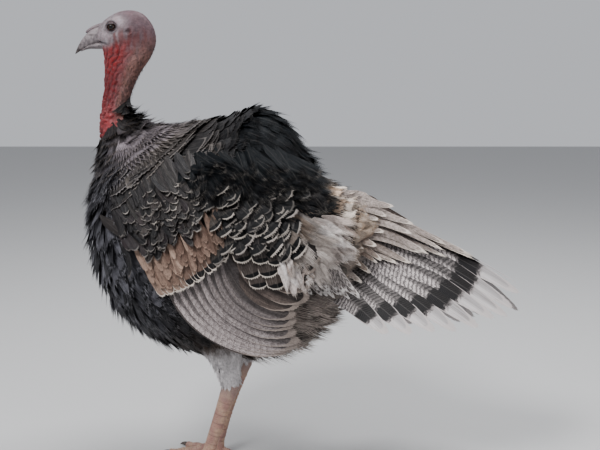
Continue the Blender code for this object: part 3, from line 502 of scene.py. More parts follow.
class Vane(Nodes):
    """A feather's vane, painted from its own attributes.
    mark holds (along, across, chance, outline) and tint holds the colour and how strong the pale edge is."""

    def __init__(self, name):
        super().__init__(name)
        mark, self.outline = self.attribute("mark")
        self.tint, self.edge = self.attribute("tint")
        self.edge_tint, _ = self.attribute("edge_tint")
        split = self.add("ShaderNodeSeparateColor", i0=mark)
        self.along, self.across, self.chance = split.outputs[0], split.outputs[1], split.outputs[2]
        self.from_shaft = self.math("ABSOLUTE", self.less(self.times(self.across, 2.0), 1.0))
        self.mottle, self.fine = self.noise(260.0), self.noise(900.0, 2.0)

    def strands(self, colour, barbs):
        """Long pale streaks and dark furrows between them, and the streaks alone."""
        place = self.add("ShaderNodeCombineXYZ", i0=self.times(self.along, 5.0),
                         i1=self.times(self.across, 34.0), i2=self.times(self.chance, 60.0)).outputs[0]
        strands = self.noise(1.0, 2.0, place=place)
        streak = self.times(self.ramp(strands, 0.50, 0.75), barbs)
        colour = self.blend(streak, colour, self.blend(0.35, colour, self.edge_tint))
        furrow = self.times(self.ramp(strands, 0.47, 0.36), 0.9 * barbs)
        return self.blend(furrow, colour, self.blend(0.55, colour, BLACK_INK)), streak

    def bars(self, colour, strength, pitch, bar_colour, wobble, speckle):
        """Wavy bars, slanted away from the shaft and broken into specks."""
        wave = self.plus(self.times(self.along, pitch), self.times(self.from_shaft, -1.2))
        wave = self.plus(wave, self.times(self.mottle, wobble))
        wave = self.math("SINE", self.times(self.plus(wave, self.times(self.chance, 3.0)), TAU))
        dark = self.ramp(wave, -0.1, 0.5)
        if speckle:
            dark = self.times(dark, self.ramp(self.fine, 0.62 - speckle, 0.62))
        return self.blend(self.times(dark, strength), colour, bar_colour)

    def band(self, colour, low, high, soft, band_colour):
        wobble = self.swayed(self.along, self.mottle, 0.05)
        inside = self.times(self.ramp(wobble, low, low + soft), self.ramp(wobble, high + soft, high))
        return self.blend(inside, colour, band_colour)

    def tip(self, colour, start, tip_colour, streak):
        reach = self.swayed(self.along, self.mottle, 0.04)
        streaked = self.blend(streak, tip_colour, TIP_STREAK)
        return self.blend(self.ramp(reach, start, start + 0.02), colour, streaked)

    def covered(self, colour, from_open, to_dark, strength, tip_at):
        """Painted shade where the next vane lies over this one, less so on a pale tip."""
        under = self.times(self.ramp(self.across, from_open, to_dark), strength)
        if tip_at:
            on_tip = self.ramp(self.along, tip_at - 0.02, tip_at + 0.02)
            under = self.times(under, self.less(1.0, self.times(on_tip, 0.55)))
        return self.blend(under, colour, SHADE_INK)

    def shaft_and_edge(self, colour):
        shaft = self.times(self.ramp(self.from_shaft, 0.07, 0.02), 0.20)
        colour = self.blend(shaft, colour, self.blend(0.4, colour, self.edge_tint))
        ragged = self.swayed(self.outline, self.mottle, 0.22)
        return self.blend(self.times(self.ramp(ragged, 0.58, 0.76), self.edge), colour, self.edge_tint)

    def barb_bump(self):
        slant = self.less(self.along, self.times(self.from_shaft, 0.16))
        barbs = self.math("SINE", self.times(slant, 210.0))
        self.bump(self.plus(barbs, self.times(self.fine, 2.0)), 0.35, 0.0004)


def feather_material(name, **given):
    """One kind of feather, from the looks of FEATHER_KINDS."""
    looks = {**USUAL_LOOKS, **given}
    n = Vane(name)
    colour = n.blend(n.times(n.ramp(n.mottle, 0.40, 0.75), 0.40), n.tint, n.blend(0.8, n.tint, BLACK_INK))
    colour, streak = n.strands(colour, looks["barbs"])
    if looks["bars"]:
        keys = ("bars", "bar_pitch", "bar_colour", "bar_wobble", "speckle")
        colour = n.bars(colour, *(looks[key] for key in keys))
    if looks["band"]:
        colour = n.band(colour, *looks["band"], looks["band_colour"])
    if looks["tip_at"]:
        colour = n.tip(colour, looks["tip_at"], looks["tip_colour"], streak)
    if looks["covered"]:
        colour = n.covered(colour, *looks["covered"], looks["tip_at"])
    colour = n.shaft_and_edge(colour)
    n.barb_bump()
    return n.surface(colour, looks["roughness"], Specular_IOR_Level=looks["gloss"], Sheen_Weight=looks["sheen"],
                     Sheen_Roughness=SHEEN_ROUGHNESS, Sheen_Tint=SHEEN_TINT)


def skin_material(name):
    """Bare skin: the colour painted in the attribute paint, with fine creases darkened by painted shade, pores
    and a little blotching.
    """
    n = Nodes(name)
    paint, wet = n.attribute("paint")
    blotch, pores = n.noise(170.0, 5.0), n.noise(1500.0, 3.0)
    crease = n.noise(420.0, 4.0, stretch=(1.0, 1.0, 2.6))
    flushed = n.blend(0.6, paint, (0.25, 0.16, 0.17, 1))
    colour = n.blend(n.times(n.ramp(blotch, 0.38, 0.62), 0.30), paint, flushed)
    # Painted shade: darker in the creases, where the bump below sinks
    crease_shade = n.blend(0.75, colour, (0.02, 0.01, 0.01, 1))
    colour = n.blend(n.times(n.ramp(crease, 0.48, 0.36), 0.35), colour, crease_shade)
    n.bump(n.plus(n.times(crease, 1.4), n.times(pores, 0.5)), 0.55, 0.0007)
    return n.surface(colour, n.less(0.62, n.times(wet, 0.2)), Subsurface_Weight=0.08,
                     Subsurface_Radius=(0.004, 0.0015, 0.001), Subsurface_Scale=1.0, Specular_IOR_Level=0.4)


def horn_material(name, tip, root, tip_x, root_x):
    """Horn, darker at its tip and paler towards its root along X, worn matt, with fine growth lines."""
    n = Nodes(name)
    along = n.add("ShaderNodeSeparateXYZ", i0=n.place()).outputs[0]
    lines, blotch = n.noise(500.0, 3.0, stretch=(0.35, 1.0, 1.0)), n.noise(220.0, 4.0)
    colour = n.blend(n.ramp(n.swayed(along, blotch, 0.010), tip_x, root_x), tip, root)
    worn = n.blend(0.4, colour, (0.5, 0.45, 0.4, 1))
    colour = n.blend(n.times(n.ramp(lines, 0.4, 0.65), 0.30), colour, worn)
    stained = n.blend(0.75, colour, (0.02, 0.018, 0.02, 1))
    colour = n.blend(n.times(n.ramp(blotch, 0.56, 0.38), 0.50), colour, stained)
    n.bump(n.plus(lines, blotch), 0.45, 0.0005)
    return n.surface(colour, n.plus(0.42, n.times(lines, 0.2)), Specular_IOR_Level=0.4)


def eye_material():
    """The eyeball's own paint under a wet gloss."""
    n = Nodes("eye")
    paint, _ = n.attribute("paint")
    fine = n.noise(1800.0, 2.0)
    colour = n.blend(n.times(fine, 0.4), paint, (0.01, 0.006, 0.005, 1))
    return n.surface(colour, n.plus(0.08, n.times(fine, 0.04)), Specular_IOR_Level=0.35,
                     Coat_Weight=0.35, Coat_Roughness=0.04)


def floor_material():
    n = Nodes("floor")
    colour = n.blend(n.times(n.noise(40.0, 4.0), 0.15), (0.50, 0.50, 0.50, 1), (0.43, 0.43, 0.435, 1))
    return n.surface(colour, 0.85)


# Skin

def near_segment(points, a, b):
    """Distance from each point to the segment from a to b, and how far along it."""
    t = np.clip(((points - a) @ (b - a)) / ((b - a) @ (b - a)), 0, 1)
    return np.linalg.norm(points - (a + t[:, None] * (b - a)), axis=1), t


def body_skin():
    """The body line's skin from bill to tail base, with fine rings over the bare head and neck."""
    stations = np.concatenate([np.linspace(0.0, BARE_END, BARE_RINGS),
                               np.linspace(COVERED_START, LAST_STATION - TAIL_GAP, COVERED_RINGS)])
    uu, vv = np.meshgrid(stations, ring_angles(SKIN_SIDES), indexing="ij")
    depth = COAT_DEPTH * smooth(10.0, 12.5, uu)
    points = body_surface(uu, vv, -depth).reshape(-1, 3)
    normals = body_frame(uu, vv)[2].reshape(-1, 3)
    bare = BARE_RINGS * SKIN_SIDES
    shaped, paint = shape_bare_skin(points[:bare], normals[:bare], uu.ravel()[:bare], vv.ravel()[:bare])
    points = np.concatenate([shaped, points[bare:]])
    # The skin under the coat is near-black painted shade, seen only between the feathers
    under = np.tile(UNDER_COAT_SHADE, (len(points) - bare, 1))
    shape = tube(points.reshape(len(stations), SKIN_SIDES, 3))
    return *shape, np.concatenate([paint, under, under[:2]])


def mouth_line(mirror, front):
    """The mouth's crease, which runs back from the bill under the eye, and the lip round it."""
    far, along = near_segment(mirror[:, [0, 2]], MOUTH_FRONT, MOUTH_CORNER)
    mouth = np.exp(-(far / 0.0011) ** 2) * (1 - 0.6 * along) * (front < MOUTH_WIDE)
    lip = np.exp(-((far - 0.0026) / 0.0013) ** 2) * (1 - 0.5 * along) * (front < MOUTH_WIDE)
    return mouth, lip


def throat(points, u, v, front, rough):
    """Where the red of the throat lies, and its folds, which run from behind the jaw down and forward."""
    fold_line = (np.abs(v - math.pi) / (0.35 * math.pi)) + (u - 4.5) / 4.3
    folds = np.abs(np.sin(math.pi * (fold_line * 2.6 + rough * 0.45)))
    top = 0.675 + 0.25 * (points[:, 0] + 0.2925)
    red = smooth(0.009, -0.006, points[:, 2] - top + 0.004 * rough) * smooth(1.95, 1.2, front + 0.16 * rough)
    return red, folds


def shape_bare_skin(points, normals, u, v):
    """Sculpts and paints the head and neck: cheeks, mouth line, ears, throat folds, dewlap and caruncles."""
    side = np.where(points[:, 1] < 0, -1.0, 1.0)
    front = np.abs(v - math.pi)
    mirror = points * np.stack([np.ones_like(side), side, np.ones_like(side)], -1)
    shaped = points.copy()
    for centre, reach, amount in HEAD_SWELLS:
        shaped += normals * (amount * mound(mirror, centre, reach))[:, None]
    mouth, lip = mouth_line(mirror, front)
    ear = np.linalg.norm((mirror - EAR_AT) / np.array([1.0, 1.4, 1.0]), axis=1)
    hole = -0.0030 * np.exp(-(ear / 0.0030) ** 2) + 0.0010 * np.exp(-((ear - 0.0052) / 0.0016) ** 2)
    rough, wrinkle = noise_at(points, 0.011, 3.0), noise_at(points, 0.0035, 9.0)
    red, folds = throat(points, u, v, front, rough)
    fold_push = 0.0017 * (folds ** 0.7 - 0.5) * red * smooth(10.8, 9.6, u)
    dewlap = 0.0030 * np.exp(-(front / 0.22) ** 2) * smooth(6.2, 8.2, u) * smooth(10.4, 9.0, u)
    nape = smooth(4.0, 6.0, u) * smooth(1.2, 1.9, front)
    creases = 0.0005 * wrinkle * (0.35 + red + 0.8 * nape)
    shaped += normals * (-0.0016 * mouth + 0.0007 * lip + hole + fold_push + dewlap + creases)[:, None]
    bulbs = caruncle_height(shaped, u, front)
    shaped += normals * bulbs[:, None]
    from_eye = np.hypot(mirror[:, 0] - EYE_AT[0], mirror[:, 2] - EYE_AT[2]) + 0.02 * (mirror[:, 1] < 0.004)
    shaped[:, 1] -= side * SOCKET_DEPTH * smooth(SOCKET_REACH, SOCKET_REACH - SOCKET_RIM, from_eye)
    paint = paint_head(mirror, u, front, wrinkle)
    return shaped, paint_throat(paint, u, front, red, rough, wrinkle, folds, bulbs, mouth, ear)


def caruncle_height(points, u, front):
    """How far the round caruncles at the neck's foot stand out at each point."""
    draw = RNG.random((CARUNCLES, 3))
    station = mix(*CARUNCLE_STATIONS, draw[:, 0] ** 0.65)
    reach = mix(0.35, 1.75, smooth(7.9, 10.0, station))
    centres = body_bare(station, math.pi + (draw[:, 1] * 2 - 1) * reach)
    radius = mix(*CARUNCLE_RADII, draw[:, 2] ** 1.6) * mix(0.55, 1.0, smooth(7.9, 9.8, station))
    height = np.zeros(len(points))
    near = np.flatnonzero((u > 7.4) & (front < 2.2))
    for centre, size in zip(centres, radius):
        gap = ((points[near] - centre) ** 2).sum(1)
        dome = np.sqrt(np.maximum(size * size - gap, 0)) * 0.85
        height[near] = np.maximum(height[near], dome)
    return height


def paint_head(mirror, u, front, wrinkle):
    """Grey face, mauve crown, pale gape and brow, flushed jowl and dull nape."""
    x, z = mirror[:, 0], mirror[:, 2]
    paint = np.tile(SKIN_GREY, (len(u), 1)) * (1 + 0.30 * wrinkle)[:, None]
    back_of_head = smooth(-0.274, -0.252, x + 0.10 * (z - 0.70)) * smooth(0.665, 0.685, z)
    paint = mix(paint, SKIN_CROWN, (back_of_head * 0.85)[:, None])
    paint = mix(paint, SKIN_CROWN, (smooth(2.1, 2.8, front) * smooth(0.8, 2.2, u) * 0.55)[:, None])
    paint = mix(paint, SKIN_PALE, (0.50 * mound(mirror, *FACE_PATCH) * (1 + 0.4 * wrinkle))[:, None])
    paint = mix(paint, SKIN_PALE * 1.1, (0.60 * mound(mirror, *BROW_PATCH))[:, None])
    streaks = noise_at(mirror * np.array([2.6, 0.6, 0.55]), 0.010, 12.0)
    jowl = smooth(0.712, 0.690, z) * smooth(-0.290, -0.270, x)
    jowl = jowl * smooth(-0.215, -0.240, x) * smooth(0.655, 0.675, z)
    paint = mix(paint, CHEEK, np.clip(jowl * (0.55 + 1.4 * streaks), 0, 0.9)[:, None])
    back = smooth(4.2, 6.2, u) * smooth(1.1, 1.9, front)
    return mix(paint, NAPE * (1 + 0.45 * streaks)[:, None], back[:, None])


def paint_throat(paint, u, front, red, rough, wrinkle, folds, bulbs, mouth, ear):
    """Adds the streaked red throat with painted shade in the troughs of its folds, pink caruncles, painted shade
    in the mouth's crease and the ear's hollow, and gives it all as (r, g, b, wet).
    """
    paint = mix(paint, THROAT_RED, (red * (0.80 + 0.20 * smooth(-0.35, 0.30, wrinkle)))[:, None])
    # Painted shade in the troughs of the throat's folds, where the skin is pushed in
    paint = mix(paint, DEEP_RED_AND_FOLD_SHADE, (0.80 * red * smooth(0.55, 0.10, folds))[:, None])
    paint = mix(paint, DEEP_RED_AND_FOLD_SHADE, np.clip(red * smooth(5.5, 7.5, u) * (0.45 + 0.5 * rough), 0, 0.8)[:, None])
    paint = mix(paint, CARUNCLE_PINK, (smooth(0.0004, 0.0022, bulbs) * 0.50)[:, None])
    foot = smooth(8.6, 10.0, u) * smooth(2.2, 1.5, front) * smooth(0.5, 1.1, front)
    paint = mix(paint, CARUNCLE_PINK * 1.2, (foot * 0.55)[:, None])
    # Painted shade in the mouth's crease and the ear's hollow
    paint = mix(paint, CREASE_SHADE, (0.85 * mouth)[:, None])
    paint = mix(paint, CREASE_SHADE, np.exp(-(ear / 0.0026) ** 2)[:, None] * 0.7)
    paint = paint * (1 + 0.20 * rough + 0.12 * wrinkle)[:, None]
    return with_alpha(np.clip(paint, 0.004, 1), 0.30 + 0.4 * red)


def skin_level(x, z, skin, side):
    """How far out the skin lies at each (x, z) on one side of the head, read from its nearest points."""
    close = (np.abs(skin[:, 0] - EYE_AT[0]) < 0.020) & (skin[:, 2] > EYE_AT[2] - 0.020)
    near = skin[(skin[:, 1] * side > 0.008) & close]
    gap = (near[None, :, 0] - x[:, None]) ** 2 + (near[None, :, 2] - z[:, None]) ** 2
    weight = 1 / (gap + 1e-7) ** 2
    return (weight * np.abs(near[None, :, 1])).sum(1) / weight.sum(1)


def lid_shape(side, skin):
    """Both lids of one eye, a low mound with an almond opening, its rim rolled in over the eyeball."""
    around, rows = 64, 14
    aa, _ = np.meshgrid(ring_angles(around), np.arange(rows), indexing="ij")
    open_x = LID_OPEN[0] * np.sign(np.cos(aa)) * np.abs(np.cos(aa)) ** 0.9
    open_z = LID_OPEN[1] * np.sin(aa) * np.where(np.sin(aa) > 0, 0.90, 1.0) + 0.0004 * np.cos(aa)
    grow = np.concatenate([[0.0, 0.0], np.linspace(0.04, 1.0, rows - 2)])[None, :]
    x = mix(open_x, LID_REACH * np.cos(aa), grow)
    z = mix(open_z, LID_REACH * np.sin(aa), grow)
    reach = np.hypot(x, z)
    dome = np.sqrt(np.maximum((EYE_RADIUS + 0.0010) ** 2 - reach ** 2, 1e-8))
    level = skin_level((x + EYE_AT[0]).ravel(), (z + EYE_AT[2]).ravel(), skin, side).reshape(x.shape) - EYE_AT[1]
    out = mix(dome, level + 0.0003, smooth(0.0058, 0.0082, reach))
    out += 0.0005 * np.exp(-((grow - 0.10) / 0.07) ** 2) - 0.0003 * np.exp(-((grow - 0.34) / 0.10) ** 2)
    out += 0.0003 * np.exp(-((grow - 0.55) / 0.09) ** 2) - 0.0016 * smooth(0.80, 1.0, grow)
    out[:, 0] = np.sqrt(EYE_RADIUS ** 2 - np.minimum(reach[:, 0], EYE_RADIUS * 0.98) ** 2) - 0.0006
    points = np.stack([x, out * side, z], -1).reshape(-1, 3) + EYE_AT * np.array([1, side, 1])
    k, n = np.meshgrid(np.arange(around), np.arange(rows - 1), indexing="ij")
    after = (k + 1) % around
    quads = np.stack([k * rows + n, k * rows + n + 1, after * rows + n + 1, after * rows + n], -1).reshape(-1, 4)
    if side > 0:
        quads = quads[:, ::-1]
    # The rim and ring darken the lid towards its opening: dark lid skin and painted shade together
    rim = (np.clip(1.5 - grow * 6.5, 0, 1) * np.ones_like(aa)).reshape(-1)
    ring = (0.75 * smooth(0.90, 0.30, grow) * np.ones_like(aa)).reshape(-1)
    colour = mix(mix(SKIN_GREY, LID_RING_AND_SHADE, ring[:, None]), LID_RIM_AND_SHADE, rim[:, None])
    colour = colour * (1 + 0.25 * noise_at(points, 0.0035, 9.0))[:, None]
    return points, quads, np.zeros((0, 3), int), with_alpha(colour, 0.6)


def leg_joints(side):
    """Hip, hock and ankle of one leg."""
    back = leg_back(side)
    hip, hock, ankle = (np.array([p[0] + back, LEG_Y * side, p[1]]) for p in (HIP, HOCK, ANKLE))
    hip[1] *= HIP_OUT
    return hip, hock, ankle


def leg_back(side):
    return RIGHT_LEG_BACK if side > 0 else 0.0


def leg_rings(side):
    """Thigh and shank of one leg as one tube from inside the body to the ankle, with scutes stepped in front.
    Returns its rings, and for each vertex its place along the shank, -1 on the thigh."""
    hip, hock, ankle = leg_joints(side)
    upper, lower = np.linspace(0, 0.93, 22), np.linspace(0.04, 1, 130)
    thigh_radius = np.interp(upper, THIGH_AT + (0.97,), THIGH_RADIUS + (0.0155,))
    heel = (1 - lower) ** 3
    shank_radius = mix(0.0088, 0.0150, heel) + 0.0020 * lower ** 5
    centres = np.concatenate([hip + (hock - hip) * upper[:, None], hock + (ankle - hock) * lower[:, None]])
    centres[len(upper):, 0] += 0.004 * heel
    t = np.concatenate([np.full(len(upper), -1.0), lower])
    rings = swept_rings(centres, np.concatenate([thigh_radius, shank_radius]), LEG_SIDES, LEG_FLAT)
    facing = np.clip(np.cos(ring_angles(LEG_SIDES)), 0, 1)[None, :] ** 0.7
    step = np.where(t[:, None] > SCUTES_FROM, (np.mod(t * SCUTES, 1.0)[:, None] ** 1.6) * 0.0011, 0.0)
    rings = rings + unit(rings - centres[:, None]) * (step * facing)[..., None]
    rings[-1, :, 2] = ankle[2] - 0.004
    return rings, np.repeat(t, LEG_SIDES)


def leg_shape(side):
    rings, t = leg_rings(side)
    points, quads, triangles = tube(rings)
    return points, quads, triangles, leg_paint(points, np.concatenate([t, t[:1], t[-1:]]))


def leg_paint(points, t):
    """Buff and rose scutes with shadows between them, duller at the hock, and near-black painted shade on the
    thigh under the feathers.
    """
    paint = mix(LEG_BUFF, LEG_ROSE, smooth(-0.4, 0.5, noise_at(points, 0.012, 5.0))[:, None])
    gap = smooth(0.16, 0.02, np.mod(t * SCUTES, 1.0)) * (t > SCUTES_FROM)
    paint = mix(paint, LEG_SHADOW, (0.65 * gap)[:, None])
    hock = smooth(0.30, 0.05, t) * (t > -0.5)
    paint = mix(paint, LEG_HOCK, (0.7 * hock)[:, None])
    # The thigh's part is near-black painted shade under its feathers
    return with_alpha(np.where((t < -0.5)[:, None], np.array(THIGH_SKIN_SHADE), paint), 0.1)


def toe_ways(side, heading):
    """The directions along a toe and across it."""
    way = np.array([math.cos(heading), math.sin(heading) * -side, 0])
    return way, np.array([-way[1], way[0], 0])


def palm_at(side):
    return np.array([ANKLE[0] + leg_back(side) - TOE_BACK, LEG_Y * side, PALM_HEIGHT])


def toe_rings(centres, over, wide, tall, angles):
    """Rings that stand across a toe or a claw, none of them lower than the floor."""
    rings = centres[:, None] + over * (wide * np.cos(angles))[..., None]
    rings = rings + Z_AXIS * (tall * np.sin(angles))[..., None]
    rings[..., 2] = np.maximum(rings[..., 2], SOLE)
    return rings


def toe_shape(name, side):
    """One toe with scutes over its top, and its paint."""
    heading, length, radius = TOES[name]
    way, over = toe_ways(side, heading)
    t, angles = np.linspace(0, 1, TOE_RINGS), ring_angles(TOE_SIDES)
    knuckles, rounded = 1 + 0.06 * np.cos(TAU * t * 3), np.sqrt(np.clip((1.03 - t) / 0.06, 0.05, 1))
    size = radius * mix(1.0, 0.66, t) * knuckles * rounded
    rise = 0.006 * (1 - t) ** 2 + (0.005 * (1 - t) if name == "hind" else 0)
    ground = palm_at(side) * np.array([1, 1, 0])
    centres = ground + way * (length * t)[:, None] + Z_AXIS * (size * 0.84 + rise)[:, None]
    phase = np.mod(t * length / TOE_SCUTE, 1.0)
    grown = size[:, None] + phase[:, None] ** 1.5 * 0.0010 * np.clip(np.sin(angles), 0, 1)[None, :] ** 0.7
    shape = tube(toe_rings(centres, over, grown, grown, angles))
    shank_place = (4 + phase) / SCUTES
    return shape, leg_paint(shape[0], np.concatenate([np.repeat(shank_place, TOE_SIDES), [0.2, 0.2]]))


def foot_shape(side):
    """One foot: four toes, a palm and the stem up to the ankle, flat where they rest."""
    shapes, paints = zip(*(toe_shape(name, side) for name in TOES))
    angles = ring_angles(TOE_SIDES)
    turn = math.pi * np.linspace(0, 1, 24)[1:-1]
    level, radius = np.cos(turn), np.sin(turn)
    palm = palm_at(side) + np.stack([radius[:, None] * PALM_LONG * np.cos(angles),
                                     radius[:, None] * PALM_WIDE * np.sin(angles),
                                     (level[:, None] * PALM_TALL) * np.ones(TOE_SIDES)], -1)
    palm[..., 2] = np.maximum(palm[..., 2], SOLE)
    t = np.linspace(0, 1, 20)
    stem_line = leg_joints(side)[2] + np.array([-0.002, 0, -0.024]) * t[:, None] + np.array([0, 0, 0.004])
    stem = swept_rings(stem_line, mix(0.0106, 0.0125, t), TOE_SIDES, 0.86)
    more = [tube(palm), tube(stem)]
    paints = [*paints, *(leg_paint(shape[0], np.full(len(shape[0]), 0.5)) for shape in more)]
    return *joined([*shapes, *more]), np.concatenate(paints)


def pad_shape(side):
    """The wing's muscle pad under its coverts."""
    layers, around = 18, 48
    height = math.pi * (np.arange(layers) + 0.5) / layers
    angle = ring_angles(around)
    spread, rise = np.sin(height)[:, None], np.cos(height)[:, None]
    x = PAD_LONG * np.cos(angle) * spread
    z = PAD_HIGH * np.sin(angle) * spread
    c, s = math.cos(PAD_TURN), math.sin(PAD_TURN)
    lift = mix(-0.004, -PAD_DEEP, (1 - rise) / 2) * np.ones_like(x)
    shape = tube(wing_surface(side)(PAD_MID[0] + x * c - z * s, PAD_MID[1] + x * s + z * c, lift))
    # The pad is near-black painted shade under the coverts
    return *shape, np.tile(UNDER_WING_SHADE, (len(shape[0]), 1))


def make_skin(material):
    """One skin for the head, neck, body and legs, with the lids and the wings' muscle pads."""
    parts = [body_skin()]
    head = parts[0][0]
    from_eye = np.hypot(head[:, 0] - EYE_AT[0], head[:, 2] - EYE_AT[2])
    face = head[(from_eye > SOCKET_REACH) & (from_eye < FACE_REACH)]
    for side in SIDES.values():
        parts += [lid_shape(side, face), leg_shape(side), foot_shape(side), pad_shape(side)]
    points, quads, triangles = joined([part[:3] for part in parts])
    paint = np.concatenate([part[3] for part in parts])
    skin = make_object("skin", points, quads, triangles, colours={"paint": paint})
    legs = [f"{part}_{tag}" for part in ("thigh", "shank", "foot") for tag in SIDES]
    return dress(skin, material, "head_skin", "head", "neck", "torso", *legs)


def make_eyes(material):
    """Glossy dark eyes with a brown iris, a black pupil and a slight bulge over them."""
    rings_count, sides = 40, 48
    polar, angles = math.pi * np.linspace(0, 1, rings_count + 2)[1:-1], ring_angles(sides)
    out = EYE_RADIUS * np.cos(polar) * (1 + 0.05 * np.exp(-(polar / 0.5) ** 2))
    reach = EYE_RADIUS * np.sin(polar)
    from_axis = np.concatenate([np.repeat(reach, sides), [0, 0]])
    colour = mix(PUPIL, IRIS, smooth(*PUPIL_EDGE, from_axis)[:, None])
    colour = mix(colour, EYE_WHITE, smooth(*IRIS_EDGE, from_axis)[:, None])
    for tag, side in SIDES.items():
        rings = np.stack([reach[:, None] * np.cos(angles), (out * side)[:, None] * np.ones(sides),
                          reach[:, None] * np.sin(angles)], -1)
        shape = tube(rings + EYE_AT * np.array([1, side, 1]))
        eye = make_object("eyeball_" + tag, *shape, colours={"paint": with_alpha(colour, 1.0)})
        dress(eye, material, "eye", "eye_" + tag)


def bill_rings(top, bottom, tip, rounded):
    """Rings of one mandible from its base to its tip."""
    sides, count, least = 56, 60, 0.0004
    t = np.linspace(0, 1, count)[:, None] ** 0.9
    angle = ring_angles(sides)[None, :]
    x = BILL_BASE_X + (tip[0] - BILL_BASE_X) * t
    high = tip[2] + (top - tip[2]) * np.maximum(1 - t ** CULMEN_BEND, 0) ** CULMEN_ROUND + least
    low = tip[2] + (bottom - tip[2]) * (1 - t) + 0.0022 * np.sin(math.pi * t ** 1.6) - least
    half = BILL_HALF_WIDTH * (1 - t) ** 0.55 + least
    ridge = np.sign(np.cos(angle)) * np.abs(np.cos(angle)) ** rounded
    middle, tall = (high + low) / 2, (high - low) / 2
    return np.stack([x * np.ones_like(angle), half * np.sin(angle), middle + tall * ridge], -1)


def make_bill(material):
    """Both mandibles, smooth and slightly hooked, with slit nostrils under a rim."""
    upper = bill_rings(BILL_TOP, BILL_MOUTH + BILL_PARTING, BILL_TIP, 0.85)
    lower = bill_rings(BILL_MOUTH - BILL_PARTING, BILL_UNDER, LOWER_BILL_TIP, 1.0)
    mirror = upper * np.where(upper[..., 1:2] < 0, [1, -1, 1], [1, 1, 1])
    slit = mound(mirror, NOSTRIL_AT, (0.0036, 0.0035, 0.0014))
    rim = mound(mirror, NOSTRIL_AT + np.array([0.0002, 0, 0.0022]), (0.0042, 0.004, 0.0014))
    upper = upper + Y_AXIS * (np.sign(upper[..., 1]) * (-0.0022 * slit + 0.0008 * rim))[..., None]
    for part, rings in (("upper", upper), ("lower", lower)):
        dress(make_object(f"bill_{part}_horn", *tube(rings)), material, "horn", "bill_" + part)


def make_snood(material):
    """The short snood, which lies forward over the bill's base."""
    t = np.linspace(0, 1, 40)
    arch = Z_AXIS * (0.0018 * np.sin(math.pi * t))[:, None]
    centres = SNOOD_ROOT + (SNOOD_TIP - SNOOD_ROOT) * t[:, None] + arch
    radii = (SNOOD_RADIUS * (1 - t) ** 0.45 + 0.0007) * (1 + 0.05 * np.sin(t * 60))
    shape = tube(swept_rings(centres, radii, 32))
    colour = mix(SNOOD_GREY, SNOOD_ROSE, smooth(-0.3, 0.5, noise_at(shape[0], 0.004, 2.0))[:, None])
    snood = make_object("snood_skin", *shape, colours={"paint": with_alpha(colour, 0.5)})
    dress(snood, material, "neck_skin", "snood")


def make_claws(material):
    """One horn claw from the end of each toe, which curves down to the floor."""
    angles = (np.arange(CLAW_SIDES) + 0.5) * TAU / CLAW_SIDES
    t = np.linspace(-0.22, 1, 24)
    past_toe = np.clip(t, 0, 1)
    for tag, side in SIDES.items():
        ground = palm_at(side) * np.array([1, 1, 0])
        for name, (heading, length, radius) in TOES.items():
            way, over = toe_ways(side, heading)
            root = radius * 0.66
            size = (root * 0.74 * np.clip(1 - t, 0, 1.2) ** 0.75 + 0.0004)[:, None]
            high = root * 0.84 + 0.0006
            centres = ground + way * (length + CLAW_LENGTH * t)[:, None]
            centres[:, 2] = high - (high - 0.0022) * past_toe ** 2 + 0.0012 * np.sin(math.pi * past_toe)
            shape = tube(toe_rings(centres, over, size * 0.8, size, angles))
            claw = make_object(f"claw_{name}_{tag}_horn", *shape)
            dress(claw, material, "horn", f"claw_{name}_{tag}")


# Feathers

def vane_template(rows, columns):
    """A vane as a grid of rows and columns whose far edge ends in a fringe of one tip per column.
    Returns each vertex's place along and across, whether it is a fringe tip, and the faces."""
    s_line = np.linspace(-1, 1, columns + 1)
    tt, ss = np.meshgrid(rows, s_line, indexing="ij")
    along = np.concatenate([tt.ravel(), np.ones(columns)])
    across = np.concatenate([ss.ravel(), (s_line[1:] + s_line[:-1]) / 2])
    fringe = np.concatenate([np.zeros(tt.size), np.ones(columns)])
    n, last = np.arange(columns), (len(rows) - 1) * (columns + 1)
    tips = np.stack([last + n, last + n + 1, tt.size + n], -1)
    return along, across, fringe, grid_quads(len(rows), columns + 1), tips


BODY_VANE = vane_template(np.array([0.0, 0.26, 0.48, 0.68, 0.82, 0.925, 0.970]), 10)
STRAND_VANE = vane_template(np.array([0.0, 0.32, 0.56, 0.74]), 9)
LONG_VANE = vane_template(np.concatenate([np.linspace(0.0, 0.9, 17), [0.94, 0.985]]), 12)
# The shape and lie of a feather where nothing else is given
USUAL_FEATHER = dict(
    low=-0.009, high=0.0015, lift=0.0, cup=0.001, curl=0.0, bend=0.0, sag=0.0, taper=0.15, round=0.16, fray=0.05,
    tilt=0.0, rough=0.0008, edge=0.5, open=1.0, sides=1.0, marks=1.0,
)


def common(count, **given):
    """Per-feather values, from numbers or arrays, with the usual value for any that isn't given."""
    values = {}
    for key, value in {**USUAL_FEATHER, **given}.items():
        values[key] = np.broadcast_to(value, (count, 3) if "tint" in key else (count,)).astype(float)
    values["chance"] = RNG.random(count)
    return values


def picked(values, chosen):
    """The values of some of the feathers."""
    return {key: value[chosen] for key, value in values.items()}


def vane_height(f, t, s, reach, ragged):
    """How high each vertex stands over the surface, from its place along and across and its feather's values."""
    opened = smooth(0.1, 0.6, t)
    height = mix(f["low"], f["high"], reach ** 1.15) + f["lift"] * smooth(0.45, 1.1, reach) ** 1.5
    height = height - f["cup"] * s * s * opened + f["tilt"] * s * opened
    height = height + f["curl"] * smooth(0.75, 1.15, reach) * (0.4 + np.abs(s))
    return height + (ragged - 0.5) * f["rough"] * t


